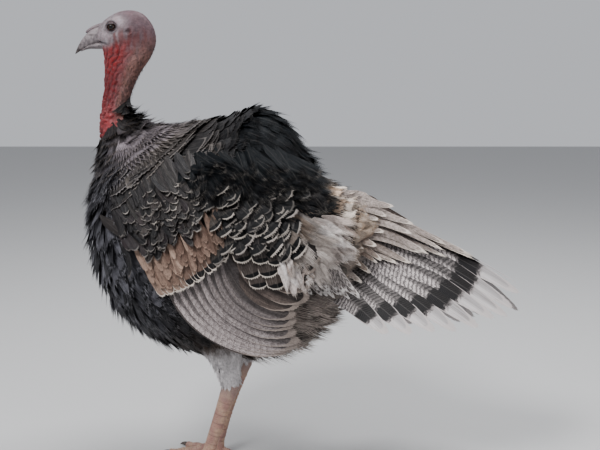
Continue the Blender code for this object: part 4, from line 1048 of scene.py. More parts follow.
def vane_marks(f, t, s, reach):
    """What the feather's material reads at each vertex: along, across, chance and outline."""
    sides = smooth(0.72, 1.0, np.abs(s))
    far_edge = smooth(0.905, 0.955, t) * (1 - sides * (1 - f["sides"]))
    rim = np.maximum(far_edge, sides * f["sides"] * smooth(0.55, 0.95, t))
    marks = [np.clip(reach, 0, 1) * f["marks"], (s * f["open"] + 1) / 2, f["chance"] * np.ones_like(t), rim]
    return np.stack(marks, -1).reshape(-1, 4)


class Coat:
    """Feathers laid on one surface, all from one vane, each shaped by values of its own."""

    def __init__(self, surface, template, unwrap, patch=SMALL_PATCH):
        self.surface, self.template, self.unwrap, self.patch = surface, template, unwrap, patch

    def build(self, name, root, along_step, across_step, values, material, slot, replaced=()):
        """root is (a, b) on the surface, and the steps are what a metre along or across a feather adds to it.
        values are those that common gives. Of them, open is 1 or -1, the side that the next vane leaves open."""
        along, across, fringe, quads, tips = self.template
        count, size = len(root), len(along)
        f = {key: value[:, None] for key, value in values.items()}
        t, s = np.tile(along, (count, 1)), np.tile(across, (count, 1))
        ragged = RNG.random((count, size))
        rounding = f["round"] * np.abs(s) ** 2.4 * smooth(0.2, 1.0, t)
        reach = t * (1 - rounding) + fringe * f["fray"] * (ragged - 0.45)
        wide = np.interp(np.minimum(t / 0.45, 1.0), (0, 0.25, 0.6, 1.0), (0.22, 0.55, 0.90, 1.0))
        wide = wide * (1 - f["taper"] * smooth(0.40, 1.0, t))
        bend = f["bend"] * f["length"] * reach ** 2
        sag = f["sag"] * f["length"] * 4 * reach * (1 - reach)
        forward, sideways = reach * f["length"], s * wide * f["width"] / 2 + bend + sag
        place = root[:, None] + forward[..., None] * along_step[:, None]
        place = place + sideways[..., None] * across_step[:, None]
        points = self.surface(place[..., 0], place[..., 1], vane_height(f, t, s, reach, ragged)).reshape(-1, 3)
        colours = {
            "mark": vane_marks(f, t, s, reach),
            "tint": np.repeat(with_alpha(values["tint"], values["edge"]), size, 0),
            "edge_tint": np.repeat(with_alpha(values["edge_tint"], 1.0), size, 0),
        }
        first = np.arange(count)[:, None, None] * size
        uv = self.unwrap(root)[:, None] + np.stack([s * self.patch / 2, (t - 0.5) * self.patch], -1)
        obj = make_object(name, points, (quads + first).reshape(-1, 4), (tips + first).reshape(-1, 3),
                          uv.reshape(-1, 2), colours)
        return dress(obj, material, slot, *replaced)


def body_unwrap(root):
    return np.stack([np.mod(root[:, 1] / TAU, 1.0) * 0.98 + 0.01, root[:, 0] / LAST_STATION * 0.98 + 0.01], -1)


def wing_unwrap(root):
    return np.stack([root[:, 0] + 0.5, root[:, 1]], -1)


def cell_unwrap(root):
    """A cell of its own for each large feather, in a square grid."""
    index, side = np.arange(len(root)), math.ceil(math.sqrt(len(root)))
    return np.stack([(index % side + 0.5) / side, (index // side + 0.5) / side], -1)


# Body coat

# How many stations and angles the skin is measured at, the gap between rows and how far roots stray, both as a
# share of their spacing
FINE_STATIONS, FINE_ANGLES, ROW_GAP, STRAY = 400, 41, 0.87, 0.18
# Pieces between the collar and the rump: name, first and last station, spacing and kind of feather
BODY_COATS = (
    ("breast_and_mantle", 11.6, 14.9, 0.0160, "mantle"),
    ("shoulders", 14.5, 17.0, 0.0160, "body"),
    ("back_and_belly", 16.6, 19.6, 0.0150, "body"),
)


def travelled(speeds, step):
    """Distance gone at each of a row of evenly spaced places, from the speed at each."""
    return np.concatenate([[0], np.cumsum((speeds[1:] + speeds[:-1]) / 2 * step)])


def scattered(u_from, u_to, v_from, v_to, spacing):
    """Roots over a stretch of the body's skin, spread evenly by area in staggered rows, as (u, v)."""
    fine, v_line = np.linspace(u_from, u_to, FINE_STATIONS), np.linspace(v_from, v_to, FINE_ANGLES)
    uu, vv = np.meshgrid(fine, v_line, indexing="ij")
    longest = np.linalg.norm(body_frame(uu, vv)[0], axis=-1).max(1)
    travel = travelled(longest, fine[1] - fine[0])
    roots = []
    for k, u in enumerate(np.interp(np.arange(0, travel[-1], spacing * ROW_GAP), travel, fine)):
        sides = np.linalg.norm(body_frame(np.full(FINE_ANGLES, u), v_line)[1], axis=-1)
        girth = travelled(sides, v_line[1] - v_line[0])
        v = np.interp(np.arange(spacing * 0.5 * (k % 2), girth[-1], spacing), girth, v_line)
        here = np.linalg.norm(body_frame(np.full(len(v), u), v)[0], axis=-1)
        station = np.searchsorted(fine, u).clip(0, FINE_STATIONS - 1)
        keep = RNG.random(len(v)) < here / longest[station] * 1.02
        v = v + RNG.normal(0, STRAY, len(v)) * spacing / np.interp(v, v_line, sides)
        strayed = u + RNG.normal(0, STRAY, len(v)) * spacing / np.maximum(here, 1e-4)
        roots.append(np.stack([strayed, v], -1)[keep])
    return np.concatenate(roots)


def turned_steps(u, v, turn):
    """Steps in (u, v) for a metre along and across a feather that is turned from the body line's own direction.
    A positive turn swings its tip towards greater v, which is down on the bird's left."""
    along, around, _ = body_frame(u, v)
    slant = (along * around).sum(-1) / (along ** 2).sum(-1)
    along_long = np.sqrt((along ** 2).sum(-1))
    square_long = np.linalg.norm(around - along * slant[:, None], axis=-1)
    forward = np.stack([1 / along_long, np.zeros_like(u)], -1)
    sideways = np.stack([-slant / square_long, 1 / square_long], -1)
    c, s = np.cos(turn)[:, None], np.sin(turn)[:, None]
    return forward * c + sideways * s, -forward * s + sideways * c


def zone(values, amount, colour):
    """The colours moved towards one colour by an amount for each feather."""
    return mix(values, colour, np.clip(amount, 0, 1)[:, None])


class Zones:
    """How far each feather of the body's coat belongs to each zone, from 0 to 1, by the place of its root."""

    def __init__(self, root):
        u, v = root[:, 0], root[:, 1]
        place = body_bare(u, v)
        x, z, low = place[:, 0], place[:, 2], np.abs(v - math.pi)
        self.x, self.z, self.low = x, z, low
        self.wave, self.wide = noise_at(place, 0.045, 1.0), noise_at(place, 0.09, 4.0)
        self.collar, self.ruff = smooth(12.0, 10.4, u), smooth(11.0, 9.6, u)
        self.breast = smooth(1.75, 1.05, low) * smooth(17.0, 14.5, u) * (1 - self.collar)
        mantle = smooth(1.0, 1.7, low) * smooth(10.6, 11.8, u)
        self.mantle = mantle * smooth(-0.150, -0.190, x - 0.30 * (0.52 - z))
        self.back = smooth(1.4, 2.0, low) * smooth(14.2, 15.6, u) * smooth(19.6, 18.8, u)
        self.rump = smooth(1.2, 1.7, low) * smooth(19.0, 20.2, u)
        self.rear = smooth(17.6, 19.4, u) * smooth(1.9, 1.3, low)
        self.belly = smooth(0.9, 0.5, low) * smooth(15.5, 16.5, u) * smooth(19.2, 18.4, u)
        self.nape = smooth(2.0, 2.8, low) * smooth(11.4, 10.0, u)
        self.behind = smooth(1.9, 1.3, low) * smooth(0.000, 0.030, x) * smooth(0.26, 0.31, z)
        self.pale = smooth(0.020, 0.046, x + 0.15 * (z - 0.44)) * smooth(1.2, 1.7, low)
        # The shoulder zone carries a painted sheen of pale mauve
        shoulder = smooth(0.510, 0.535, z) * smooth(0.580, 0.566, z) * smooth(1.0, 1.5, low)
        shoulder = shoulder * smooth(-0.228, -0.252, x - 0.9 * (z - 0.556))
        self.shoulder = shoulder * (1 - 0.8 * smooth(11.2, 10.5, u))
        scapular = smooth(0.50, 0.47, z) * smooth(0.36, 0.40, z)
        self.scapular = scapular * smooth(-0.20, -0.12, x) * smooth(1.0, 1.3, low)


def body_tint(k, count):
    """The coat's colours: black, bronze and plum in front, with a painted sheen of pale mauve on the shoulder,
    blue-black over the back, lightened towards its rear by painted sheen, and brown and pale behind.
    """
    tint = np.tile(BLACK, (count, 1))
    tint = zone(tint, 0.75 * k.mantle * smooth(-0.6, 0.3, k.wave), BRONZE)
    tint = zone(tint, 0.80 * k.mantle * smooth(0.50, 0.44, k.z) * smooth(-0.3, 0.3, k.wide), PLUM)
    # Painted sheen: pale mauve over the shoulder's feathers
    tint = zone(tint, 0.85 * k.shoulder * smooth(-0.8, -0.1, k.wave), MAUVE_SHEEN * 1.05)
    tint = zone(tint, 0.9 * k.breast, BREAST_GREY * RNG.uniform(0.2, 2.2, (count, 1)))
    brown = 0.80 * k.collar * smooth(2.1, 1.0, k.low) * (1 - k.shoulder) * smooth(-0.35, 0.25, k.wave)
    tint = zone(tint, brown, BROWN * 0.60)
    tint = zone(tint, k.back + 0.8 * smooth(-0.12, -0.08, k.x) * smooth(0.44, 0.50, k.z), BLUE_BLACK)
    tint = zone(tint, 0.85 * k.rear, GREY_BROWN * 0.7)
    tint = zone(tint, 0.85 * k.behind, mix(GREY_BROWN * 1.4, WHITE, RNG.random((count, 1))))
    tint = zone(tint, 0.5 * k.belly, BROWN * 0.45)
    tint = zone(tint, k.pale, mix(BUFF * 0.7, WHITE * 0.85, RNG.random((count, 1))))
    shade = np.clip(1 + RNG.normal(0, 0.22, count) * (1 + 2.0 * k.collar), 0.15, 1.5 + 0.5 * (1 - k.collar))
    # Painted sheen: the back's feathers lightened towards its rear
    return tint * (shade * (1 + 0.9 * k.back * smooth(-0.06, 0.02, k.x)))[:, None]


def body_edge(k, count):
    """How strong the pale edges of the body's feathers are, and their colours."""
    edge = 0.22 + 0.10 * k.mantle + 0.25 * k.collar * smooth(2.0, 1.0, k.low) + 0.70 * k.rump + 0.5 * k.rear
    edge = edge - 0.16 * k.back + 0.62 * k.breast
    edge -= 0.14 * smooth(-0.200, -0.170, k.x) * smooth(0.46, 0.50, k.z) * (1 - k.rump)
    edge = np.clip((edge + 0.5 * k.scapular) * (0.3 + 1.3 * RNG.random(count)), 0, 1)
    tint = zone(np.tile(GREY_EDGE, (count, 1)), 0.8 * k.breast, BREAST_EDGE)
    return edge, zone(tint, 0.5 * k.collar + 0.9 * k.rump + 0.7 * k.rear + 0.7 * k.scapular, BUFF)


def body_looks(root):
    """Sizes, lie, colours and turn of the body's feathers, by the places of their roots."""
    k, count = Zones(root), len(root)
    length = 0.050 - 0.024 * k.collar + 0.008 * k.mantle + 0.012 * k.back + 0.008 * k.rump + 0.012 * k.rear
    width = 0.027 - 0.016 * k.collar + 0.009 * k.mantle + 0.001 * k.back - 0.008 * k.breast + 0.002 * k.rump
    loose = 0.0012 + 0.0035 * k.breast + 0.0050 * k.back + 0.004 * k.rear + 0.003 * k.ruff + 0.003 * k.collar
    lift = np.abs(RNG.normal(0, 1, count)) * loose
    tint = body_tint(k, count)
    edge, edge_tint = body_edge(k, count)
    values = common(count, length=length * RNG.normal(1, 0.09, count), width=width * RNG.normal(1, 0.08, count),
                    high=0.0022 + 0.002 * k.back + 0.0035 * k.ruff + 0.002 * k.breast + 0.001 * k.mantle,
                    low=mix(-0.0100, 0.0002, smooth(12.2, 10.2, root[:, 0])), lift=lift, tint=tint, edge=edge,
                    edge_tint=edge_tint, taper=0.06 + 0.30 * k.breast + 0.20 * k.rear,
                    round=0.08 + 0.14 * k.rump + 0.10 * k.rear,
                    fray=0.03 + 0.22 * k.breast + 0.14 * k.rear + 0.20 * k.back + 0.12 * k.collar,
                    cup=RNG.normal(0.0014, 0.0014, count), curl=RNG.normal(0.0005, 0.0016, count),
                    bend=RNG.normal(0, 0.07, count), tilt=RNG.normal(0, 0.0014, count))
    values["lift"] += 0.0090 * k.nape * RNG.random(count)
    side = np.where(np.mod(root[:, 1], TAU) < math.pi, 1.0, -1.0)
    turn = RNG.normal(0, 0.12, count) * (1 + 1.1 * k.collar)
    return values, turn + side * (0.30 * k.back + 0.05 * k.mantle - 0.10 * k.breast + FLANK_TURN * k.rear)


def lay_on_body(name, root, values, turn, template, material):
    """One piece of the coat on the body, its feathers turned from the body line's direction."""
    along, across = turned_steps(root[:, 0], root[:, 1], turn)
    coat = Coat(body_surface, template, body_unwrap)
    coat.build("coat_" + name, root, along, across, values, material, "black_feather")


def make_body_coat(materials):
    """The body's coat in pieces from the collar to the rump, each laid over the next."""
    root = scattered(8.3, 12.2, 0.0, TAU, 0.0072)
    low = np.abs(root[:, 1] - math.pi)
    root = root[root[:, 0] > 10.45 - 0.55 * smooth(0.9, 1.8, low) - 1.50 * smooth(1.8, 2.9, low)]
    lay_on_body("collar", root, *body_looks(root), STRAND_VANE, materials["mantle"])
    for name, start, end, spacing, usual in BODY_COATS:
        root = scattered(start, end, 0.0, TAU, spacing)
        low = np.abs(root[:, 1] - math.pi)
        under = (low < 1.5) & (root[:, 0] < 17.5)
        over = (low > 1.8) & (root[:, 0] > 14.9)
        flank = ~(under | over) & (body_bare(root[:, 0], root[:, 1])[:, 0] > -0.030) & (low < 1.8)
        for suffix, chosen, template, kind in (
            ("", ~(under | over | flank), BODY_VANE, usual),
            ("_flank", flank, BODY_VANE, "soft"),
            ("_strands", under, STRAND_VANE, "body"),
            ("_hump", over, STRAND_VANE, "black"),
        ):
            if chosen.any():
                lay_on_body(name + suffix, root[chosen], *body_looks(root[chosen]), template, materials[kind])
    root = scattered(19.2, 21.8, 0.0, TAU, 0.0130)
    lay_on_body("rump", root, *body_looks(root), STRAND_VANE, materials["soft"])
    make_flank_fluff(materials["soft"])


def make_flank_fluff(material):
    """Long loose feathers that hang from the flank and the vent, their tips paler."""
    root = scattered(17.4, 20.6, math.pi - 1.45, math.pi + 1.45, 0.0135)
    values, turn = body_looks(root)
    count, place = len(root), body_bare(root[:, 0], root[:, 1])
    hind = smooth(-0.020, 0.040, place[:, 0])
    values["length"] = RNG.uniform(0.055, 0.085, count) + 0.012 * hind
    values["high"] += 0.006
    values["lift"] += RNG.uniform(0.0, 0.022, count)
    values["tint"] = mix(GREY_BROWN * 0.32, FLUFF_PALE, RNG.random((count, 1)) ** 1.8)
    values["tint"] = zone(values["tint"], 0.6 * hind * smooth(0.26, 0.33, place[:, 2]), FLUFF_HIND)
    values["edge_tint"][:] = WHITE * 0.9
    values["edge"] = RNG.uniform(0.2, 0.8, count)
    values["fray"][:] = 0.30
    lay_on_body("flank_fluff", root, values, turn * 1.1, STRAND_VANE, material)


# Wings

class Wing:
    """One wing: its side, its shell and the materials for its feathers."""

    def __init__(self, tag, materials):
        self.tag, self.surface, self.materials = tag, wing_surface(SIDES[tag]), materials

    def lay(self, name, root, along, across, values, template, kind, slot="wing_feather", replaced=()):
        """Lays feathers on the shell, the long vanes with a cell of the unwrap for each."""
        unwrap, patch = (cell_unwrap, LARGE_PATCH) if template is LONG_VANE else (wing_unwrap, SMALL_PATCH)
        coat = Coat(self.surface, template, unwrap, patch)
        coat.build(f"{name}_{self.tag}", root, along, across, values, self.materials[kind], slot, replaced)


def laid(root, tip):
    """Length, and steps along and across, for feathers from root to tip on a surface measured in metres."""
    way = tip - root
    length = np.linalg.norm(way, axis=1)
    along = way / length[:, None]
    return length, along, np.stack([along[:, 1], -along[:, 0]], -1)


def pointing(angle):
    return np.stack([np.cos(angle), np.sin(angle)], -1)


def between(first_degrees, last_degrees, t):
    """Angles from the first to the last, in radians."""
    return mix(math.radians(first_degrees), math.radians(last_degrees), t)


def row_of(count, row):
    """Roots, tips and bows of a row of long vanes, from its first and last."""
    t = np.linspace(0, 1, count)[:, None]
    first_root, last_root, first_tip, last_tip, first_bow, last_bow = row
    root = mix(np.array(first_root), np.array(last_root), t)
    tip = mix(np.array(first_tip), np.array(last_tip), t)
    return root, tip, mix(first_bow, last_bow, t[:, 0]), t[:, 0]


def make_wing(tag, materials):
    """Primaries, secondaries, tertials, coverts and scapulars of one wing, from the lowest layer up."""
    wing = Wing(tag, materials)
    make_flight_feathers(wing)
    make_rufous_coverts(wing)
    make_inner_coverts(wing)
    make_scapulars(wing)
    make_pale_tufts(wing)
    make_side_coverts(wing)


def make_flight_feathers(wing):
    """Rows of long vanes, each bowed down and back under the next."""
    for name, count, row, width, low, high, tint, edge in (
        ("primaries", 6, PRIMARIES, 0.028, -0.0065, -0.0095, FLIGHT_GREY * 0.6, 0.5),
        ("secondaries", 8, SECONDARIES, 0.034, -0.0030, -0.0010, FLIGHT_GREY * 1.25, 0.55),
        ("tertials", 6, TERTIALS, 0.038, 0.0000, 0.0030, GREY_BROWN * 0.70, 0.70),
    ):
        root, tip, bow, t = row_of(count, row)
        length, along, across = laid(root, tip)
        order = np.arange(count) - count / 2
        shade = tint * mix(1.16, 0.45, t ** 1.2)[:, None] * RNG.normal(1, 0.06, count)[:, None]
        values = common(count, length=length * RNG.normal(1, 0.028, count), width=width,
                        low=low + order * 0.0007, high=high + order * 0.0006, cup=0.0016, sag=bow,
                        taper=0.04, round=0.20, fray=0.010,
                        tint=shade, edge=edge, edge_tint=FLIGHT_EDGE, rough=0.0002, tilt=0.0020, lift=0.0010)
        replaced = ["wing_" + wing.tag] if name == "primaries" else ()
        wing.lay(name, root, along, across, values, LONG_VANE, "flight", replaced=replaced)


def make_rufous_coverts(wing):
    """The rufous shoulder of the wing: narrow vanes in streaks, the inner great ones with a black spot and white
    tip, and above them the shoulder's dark loose feathers."""
    for name, count, length, arch, width, high, edge in (
        ("greater_coverts", 17, 0.058, 0.010, 0.0150, 0.0040, 0.85),
        ("lesser_coverts", 64, 0.040, 0.008, 0.0072, 0.0074, 0.30),
        ("shoulder_feathers", 190, 0.050, 0.000, 0.0140, 0.0100, 0.70),
    ):
        great, on_shoulder = name == "greater_coverts", name == "shoulder_feathers"
        t = (np.arange(count) * 0.3819) % 1.0 if on_shoulder else np.linspace(0, 1, count)
        tip = mix(*COVERT_LINE, t[:, None])
        tip[:, 1] -= arch * np.sin(math.pi * t)
        angle, back = between(-57, -72, t) + RNG.normal(0, 0.03, count), np.zeros(count)
        if on_shoulder:
            back = 0.052 + 0.072 * np.linspace(0, 1, count) + RNG.uniform(-0.004, 0.004, count)
            angle = between(-68, -48, t) + RNG.normal(0, 0.15, count)
        elif not great:
            back = RNG.uniform(0.008, 0.046, count)
        tip = tip - pointing(angle) * back[:, None]
        root = tip - pointing(angle) * length
        length, along, across = laid(root, tip)
        tint = mix(TAN, RUFOUS, np.clip(0.5 + RNG.normal(0, 0.30, count) + 0.5 * t, 0, 1)[:, None])
        tint = zone(tint, smooth(0.75, 1.0, t) * 0.7, BROWN * 0.5)
        edge_tint = WHITE if great else TAN * 1.35
        if on_shoulder:
            tint = mix(BLACK, mix(PLUM, BRONZE, RNG.random((count, 1))) * 0.52, RNG.random((count, 1)) ** 2.4)
            edge_tint = mix(GREY_EDGE, WHITE * 0.8, RNG.random((count, 1)) * t[:, None])
            edge = edge * RNG.random(count)
        values = common(count, length=length, width=width * RNG.normal(1, 0.08, count), low=0.0008,
                        high=high - 0.14 * np.maximum(back - 0.048, 0), cup=0.0008, tilt=0.0014,
                        bend=RNG.normal(0.0, 0.03, count), taper=0.12, round=0.16, fray=0.05, tint=tint,
                        edge=edge, edge_tint=edge_tint, lift=np.abs(RNG.normal(0, 0.0014, count)))
        if on_shoulder:
            values.update(loosened(length))
        groups = [("", "mantle" if on_shoulder else "soft", np.argsort(back))]
        if great:
            groups = [("_plain", "soft", t < 0.42), ("_spotted", "covert", t >= 0.42)]
        for suffix, kind, chosen in groups:
            part = picked(values, chosen)
            wing.lay(name + suffix, root[chosen], along[chosen], across[chosen], part, BODY_VANE, kind)


def loosened(length):
    """Values that let the shoulder's feathers lie unevenly."""
    count = len(length)
    return dict(low=np.full(count, -0.004), cup=RNG.uniform(0.0010, 0.0030, count),
                tilt=RNG.normal(0.0010, 0.0020, count), lift=np.abs(RNG.normal(0, 0.0040, count)),
                bend=RNG.normal(0, 0.13, count), sides=RNG.random(count) * 0.6,
                length=length * RNG.normal(1, 0.10, count))


def make_inner_coverts(wing):
    """A stack of dark feathers that point down, whose blunt pale tips step over the secondaries."""
    count = len(INNER_COVERT_TIPS)
    tip = np.array(INNER_COVERT_TIPS)[::-1] + RNG.normal(0, 0.0015, (count, 2))
    root = tip - pointing(between(-72, -82, RNG.random(count))) * 0.060
    length, along, across = laid(root, tip)
    rank = np.linspace(0, 1, count)
    values = common(count, length=length, width=0.030, low=0.0010, high=0.0050 + 0.0030 * rank, cup=0.0014,
                    taper=0.04, round=0.12, fray=0.03, edge=RNG.uniform(0.6, 1.0, count), edge_tint=WHITE * 0.8,
                    tint=zone(np.tile(BLACK * 1.8, (count, 1)), 1 - rank, GREY_BROWN * 0.45), tilt=0.0016,
                    lift=np.abs(RNG.normal(0, 0.0018, count)))
    wing.lay("inner_coverts", root, along, across, values, BODY_VANE, "body")


def scapular_places():
    """Tips of the scapulars before they stray, and their places along the wing and up the tiers, 0 to 1."""
    tiers = []
    for k in range(SCAPULAR_TIERS):
        share = k / (SCAPULAR_TIERS - 1)
        t = (np.arange(SCAPULARS_EACH) + 0.5 * (k % 2)) / SCAPULARS_EACH
        x = mix(-0.148 + 0.050 * (1 - share), 0.050, t)
        z = mix(0.398, 0.464, share) - 0.034 * smooth(0.45, 1.0, t) * (1 - share)
        tiers.append(np.stack([x, z, t, np.full_like(t, share)], -1))
    places = np.concatenate(tiers)
    return places[:, :2], places[:, 2], places[:, 3]


def stranded(values, chosen, widths):
    """Some feathers as narrow strands, with widths and chances of their own."""
    part = picked(values, chosen)
    part["width"] = RNG.uniform(*widths, len(chosen))
    part["chance"] = RNG.random(len(chosen))
    return part


def make_scapulars(wing):
    """Long black blunt feathers with pale tips, which fall from the shoulder over the top of the wing."""
    tip, t, tier = scapular_places()
    count = len(tip)
    tip = tip + RNG.normal(0, 0.0065, (count, 2))
    angle = between(-58, -30, t) + RNG.normal(0, 0.17, count)
    root = tip - pointing(angle) * (mix(0.060, 0.072, t) * RNG.normal(1, 0.08, count))[:, None]
    length, along, across = laid(root, tip)
    front = smooth(0.35, 0.0, t + 0.2 * RNG.random(count)) * smooth(0.8, 0.3, tier)
    tint = zone(np.tile(BLACK * 1.1, (count, 1)), front, BRONZE * 0.6)
    tint = zone(tint, smooth(0.4, 0.9, tier), BLUE_BLACK)
    rearmost = smooth(-0.020, 0.020, tip[:, 0] + RNG.normal(0, 0.008, count)) * smooth(0.425, 0.395, tip[:, 1])
    tint = zone(tint, rearmost, mix(BUFF * 0.6, REAR_PALE, RNG.random((count, 1))))
    strength = np.clip(0.30 + 0.9 * RNG.random(count), 0, 1) * mix(1.0, 0.35, tier)
    values = common(count, length=length, width=0.026 * RNG.normal(1, 0.15, count), low=-0.012, cup=0.0016,
                    high=mix(0.0105, 0.0050, tier), bend=RNG.normal(0.0, 0.14, count), taper=0.02,
                    round=RNG.uniform(0.02, 0.16, count), fray=0.020 + 0.05 * tier, tint=tint, edge=strength,
                    sides=0.25 * RNG.random(count) ** 2,
                    edge_tint=mix(GREY_EDGE * 1.2, WHITE * 0.8, RNG.random(count)[:, None]),
                    tilt=RNG.normal(0, 0.0024, count), lift=np.abs(RNG.normal(0, 0.0036, count)),
                    curl=RNG.normal(0.0006, 0.0020, count), rough=0.0014)
    main = np.flatnonzero((tier < 0.9 - 0.5 * (t > 0.7)) & (rearmost < 0.5))
    wing.lay("scapulars", root[main], along[main], across[main], picked(values, main), BODY_VANE, "body",
             "black_feather")

    rear = np.repeat(np.flatnonzero((tier < 0.9) & (rearmost >= 0.5)), 4)
    part = stranded(values, rear, (0.010, 0.018))
    part["fray"][:], part["taper"][:] = 0.14, 0.20
    place = root[rear] + RNG.normal(0, 0.0070, (len(rear), 2))
    wing.lay("rear_scapulars", place, along[rear], across[rear], part, STRAND_VANE, "soft", "black_feather")

    ends, back_line = np.stack([root, tip], 1), BODY_LINE[FIRST_BACK_ROW:]
    room = (np.interp(ends[..., 0], back_line[:, 0], back_line[:, 1]) - ends[..., 1]).min(1)
    upper = np.repeat(np.flatnonzero((tier >= 0.60) & (room > UPPER_ROOM)), 5)
    part = stranded(values, upper, (0.009, 0.016))
    part["lift"] = np.abs(RNG.normal(0, 0.0045, len(upper)))
    part["edge"] *= RNG.random(len(upper)) ** 2
    place = root[upper] + RNG.normal(0, 0.0085, (len(upper), 2)) + np.array([0.0, 0.020])
    wing.lay("upper_scapulars", place, along[upper], across[upper], part, STRAND_VANE, "black", "black_feather")


def make_pale_tufts(wing):
    """Pale loose feathers that show behind the wing, between it and the tail, the foremost ones over its end."""
    count = PALE_TUFTS
    t = RNG.random(count)
    tip = np.stack([mix(-0.022, 0.090, t), mix(0.332, 0.392, t) + RNG.uniform(-0.018, 0.034, count)], -1)
    angle = between(-80, -28, t) + RNG.normal(0, 0.15, count)
    root = tip - pointing(angle) * RNG.uniform(0.035, 0.055, (count, 1))
    length, along, across = laid(root, tip)
    tint = mix(TUFT_BUFF, TUFT_PALE, RNG.random(count)[:, None])
    inward, over = smooth(0.0, 0.085, tip[:, 0]), smooth(0.014, -0.006, tip[:, 0])
    values = common(count, length=length, width=RNG.uniform(0.010, 0.020, count),
                    low=-0.012 - 0.035 * inward + 0.014 * over,
                    high=0.0060 - 0.018 * inward + 0.006 * over + RNG.uniform(-0.004, 0.004, count),
                    taper=0.25 + 0.2 * over, round=0.30 + 0.1 * over, fray=0.16, tint=tint, edge=0.5,
                    edge_tint=WHITE, bend=RNG.normal(0, 0.10, count), cup=0.0012,
                    tilt=RNG.normal(0, 0.0016, count), lift=np.abs(RNG.normal(0, 0.003, count)))
    wing.lay("pale_tufts", root, along, across, values, STRAND_VANE, "soft", "black_feather")


def make_side_coverts(wing):
    """Barred feathers of the flank, which lead from under the wing to the tail's edge."""
    count, order = SIDE_COVERTS, np.arange(SIDE_COVERTS)
    t, step = np.linspace(0, 1, count), 0.012 * (order % 2)
    root = np.stack([mix(-0.002, 0.046, t), mix(0.366, 0.396, t)], -1)
    tip = np.stack([mix(0.022, 0.096, t) - step, mix(0.318, 0.312, t) + step], -1)
    tip = tip + RNG.normal(0, 0.003, (count, 2))
    length, along, across = laid(root, tip)
    values = common(count, length=length, width=0.012, low=-0.046 + 0.0003 * order, high=-0.026 + 0.0003 * order,
                    cup=0.0014, sag=0.05, taper=0.20, round=0.30, fray=0.03, edge=0.9, tint=SIDE_GREY,
                    edge_tint=SIDE_EDGE, tilt=0.0016, lift=np.abs(RNG.normal(0, 0.0015, count)))
    wing.lay("side_coverts", root, along, across, values, LONG_VANE, "side", "tail_feather")


# Tail

def tail_half(share):
    """TAIL_LEFT or TAIL_RIGHT for each place across the fan, from -1 on the left to 1 on the right."""
    return np.where((share <= 0)[:, None], np.array(TAIL_LEFT), np.array(TAIL_RIGHT)).T


def fan_direction(share):
    swing, roof = tail_half(share)[:2]
    angle = swing * share
    slope = roof * (np.hypot(np.sin(angle), TAIL_RIDGE) - TAIL_RIDGE)
    flat = np.cos(angle)
    return unit(np.stack([flat * math.cos(TAIL_PITCH), np.sin(angle), -flat * math.sin(TAIL_PITCH) - slope], -1))


def tail_surface_for(share):
    """The sheet that one tail feather per row lies in: a is the reach from its root and b the way across it."""
    way = fan_direction(share)
    _, _, back, side, drop, droop, _, _ = tail_half(share)
    far = np.abs(share)
    root = TAIL_PIVOT + np.stack([-back * share ** 2, side * share, -drop * far], -1)
    out = np.stack([np.zeros_like(share), np.ones_like(share), -(drop / side) * np.sign(share) * 0.55], -1)
    out = unit(out - way * (out * way).sum(-1, keepdims=True))
    up, bow = np.cross(way, out), droop * (1 - 0.5 * far)

    def place(a, b, height):
        point = root[:, None] + way[:, None] * a[..., None] + out[:, None] * b[..., None]
        point = point + up[:, None] * np.asarray(height)[..., None]
        point[..., 2] -= bow[:, None] * a * np.abs(a)
        return point
    return place


def tail_row(name, share, start, end, values, template, material, replaced=()):
    """One row of tail feathers, from a reach at their roots to a reach at their tips."""
    count = len(share)
    root = np.stack([np.full(count, start), np.zeros(count)], -1)
    values["length"] = end - root[:, 0]
    coat = Coat(tail_surface_for(share), template, cell_unwrap, LARGE_PATCH)
    along, across = np.tile([1.0, 0.0], (count, 1)), np.tile([0.0, 1.0], (count, 1))
    coat.build(name, root, along, across, values, material, "tail_feather", replaced)


def make_rectrices(material):
    """The barred tail feathers in pairs, from the middle one out."""
    order = np.concatenate([[0], np.repeat(np.arange(1, RECTRIX_PAIRS + 1), 2)])
    share = order / RECTRIX_PAIRS * np.where(np.arange(len(order)) % 2, -1.0, 1.0)
    count = len(share)
    longest, shortest = tail_half(share)[6:]
    reach = mix(longest, shortest, share ** 2) * RNG.normal(1, 0.015, count)
    values = common(count, width=RECTRIX_WIDTH, low=0.0, high=0.0040 - 0.0010 * order, cup=0.0010, taper=0.28,
                    round=0.26, fray=0.014, tint=RECTRIX, edge=0.75, marks=mix(0.97, 0.90, np.abs(share)),
                    edge_tint=RECTRIX_EDGE, tilt=0.0030 * np.sign(share), rough=0.0002,
                    open=np.where(share < 0, -1.0, 1.0), curl=RNG.normal(0.0008, 0.0012, count),
                    bend=RNG.normal(0, 0.012, count))
    tail_row("rectrices", share, 0.0, reach, values, LONG_VANE, material, ["tail"])


def make_tail_coverts(material):
    """Tiers of upper coverts: the longest ones only along the ridge, shorter ones down the sides."""
    for name, pairs, longest, shortest, width, low, high in TAIL_COVERT_TIERS:
        share = np.linspace(-1, 1, 2 * pairs + 1)
        count, far = len(share), np.abs(share)
        reach = mix(longest, shortest, smooth(0.0, 0.75, far)) * RNG.normal(1, 0.08, count)
        pale = smooth(0.15, 0.8, RNG.random(count) + 0.8 * smooth(0.5, 0.2, far))[:, None]
        values = common(count, width=width * RNG.normal(1, 0.1, count), low=low, high=high - 0.004 * far,
                        cup=0.0014, bend=RNG.normal(0, 0.05, count), taper=0.50, round=0.36, fray=0.05,
                        tint=mix(TAIL_COVERT_BROWN, TAIL_COVERT_PALE, pale), edge=0.7, edge_tint=WHITE,
                        tilt=0.0016 * np.sign(share), lift=np.abs(RNG.normal(0, 0.0035, count)))
        share = np.clip(share + RNG.normal(0, 0.03, count), -1, 1)
        tail_row(name, share, TAIL_COVERT_START, reach, values, LONG_VANE, material)


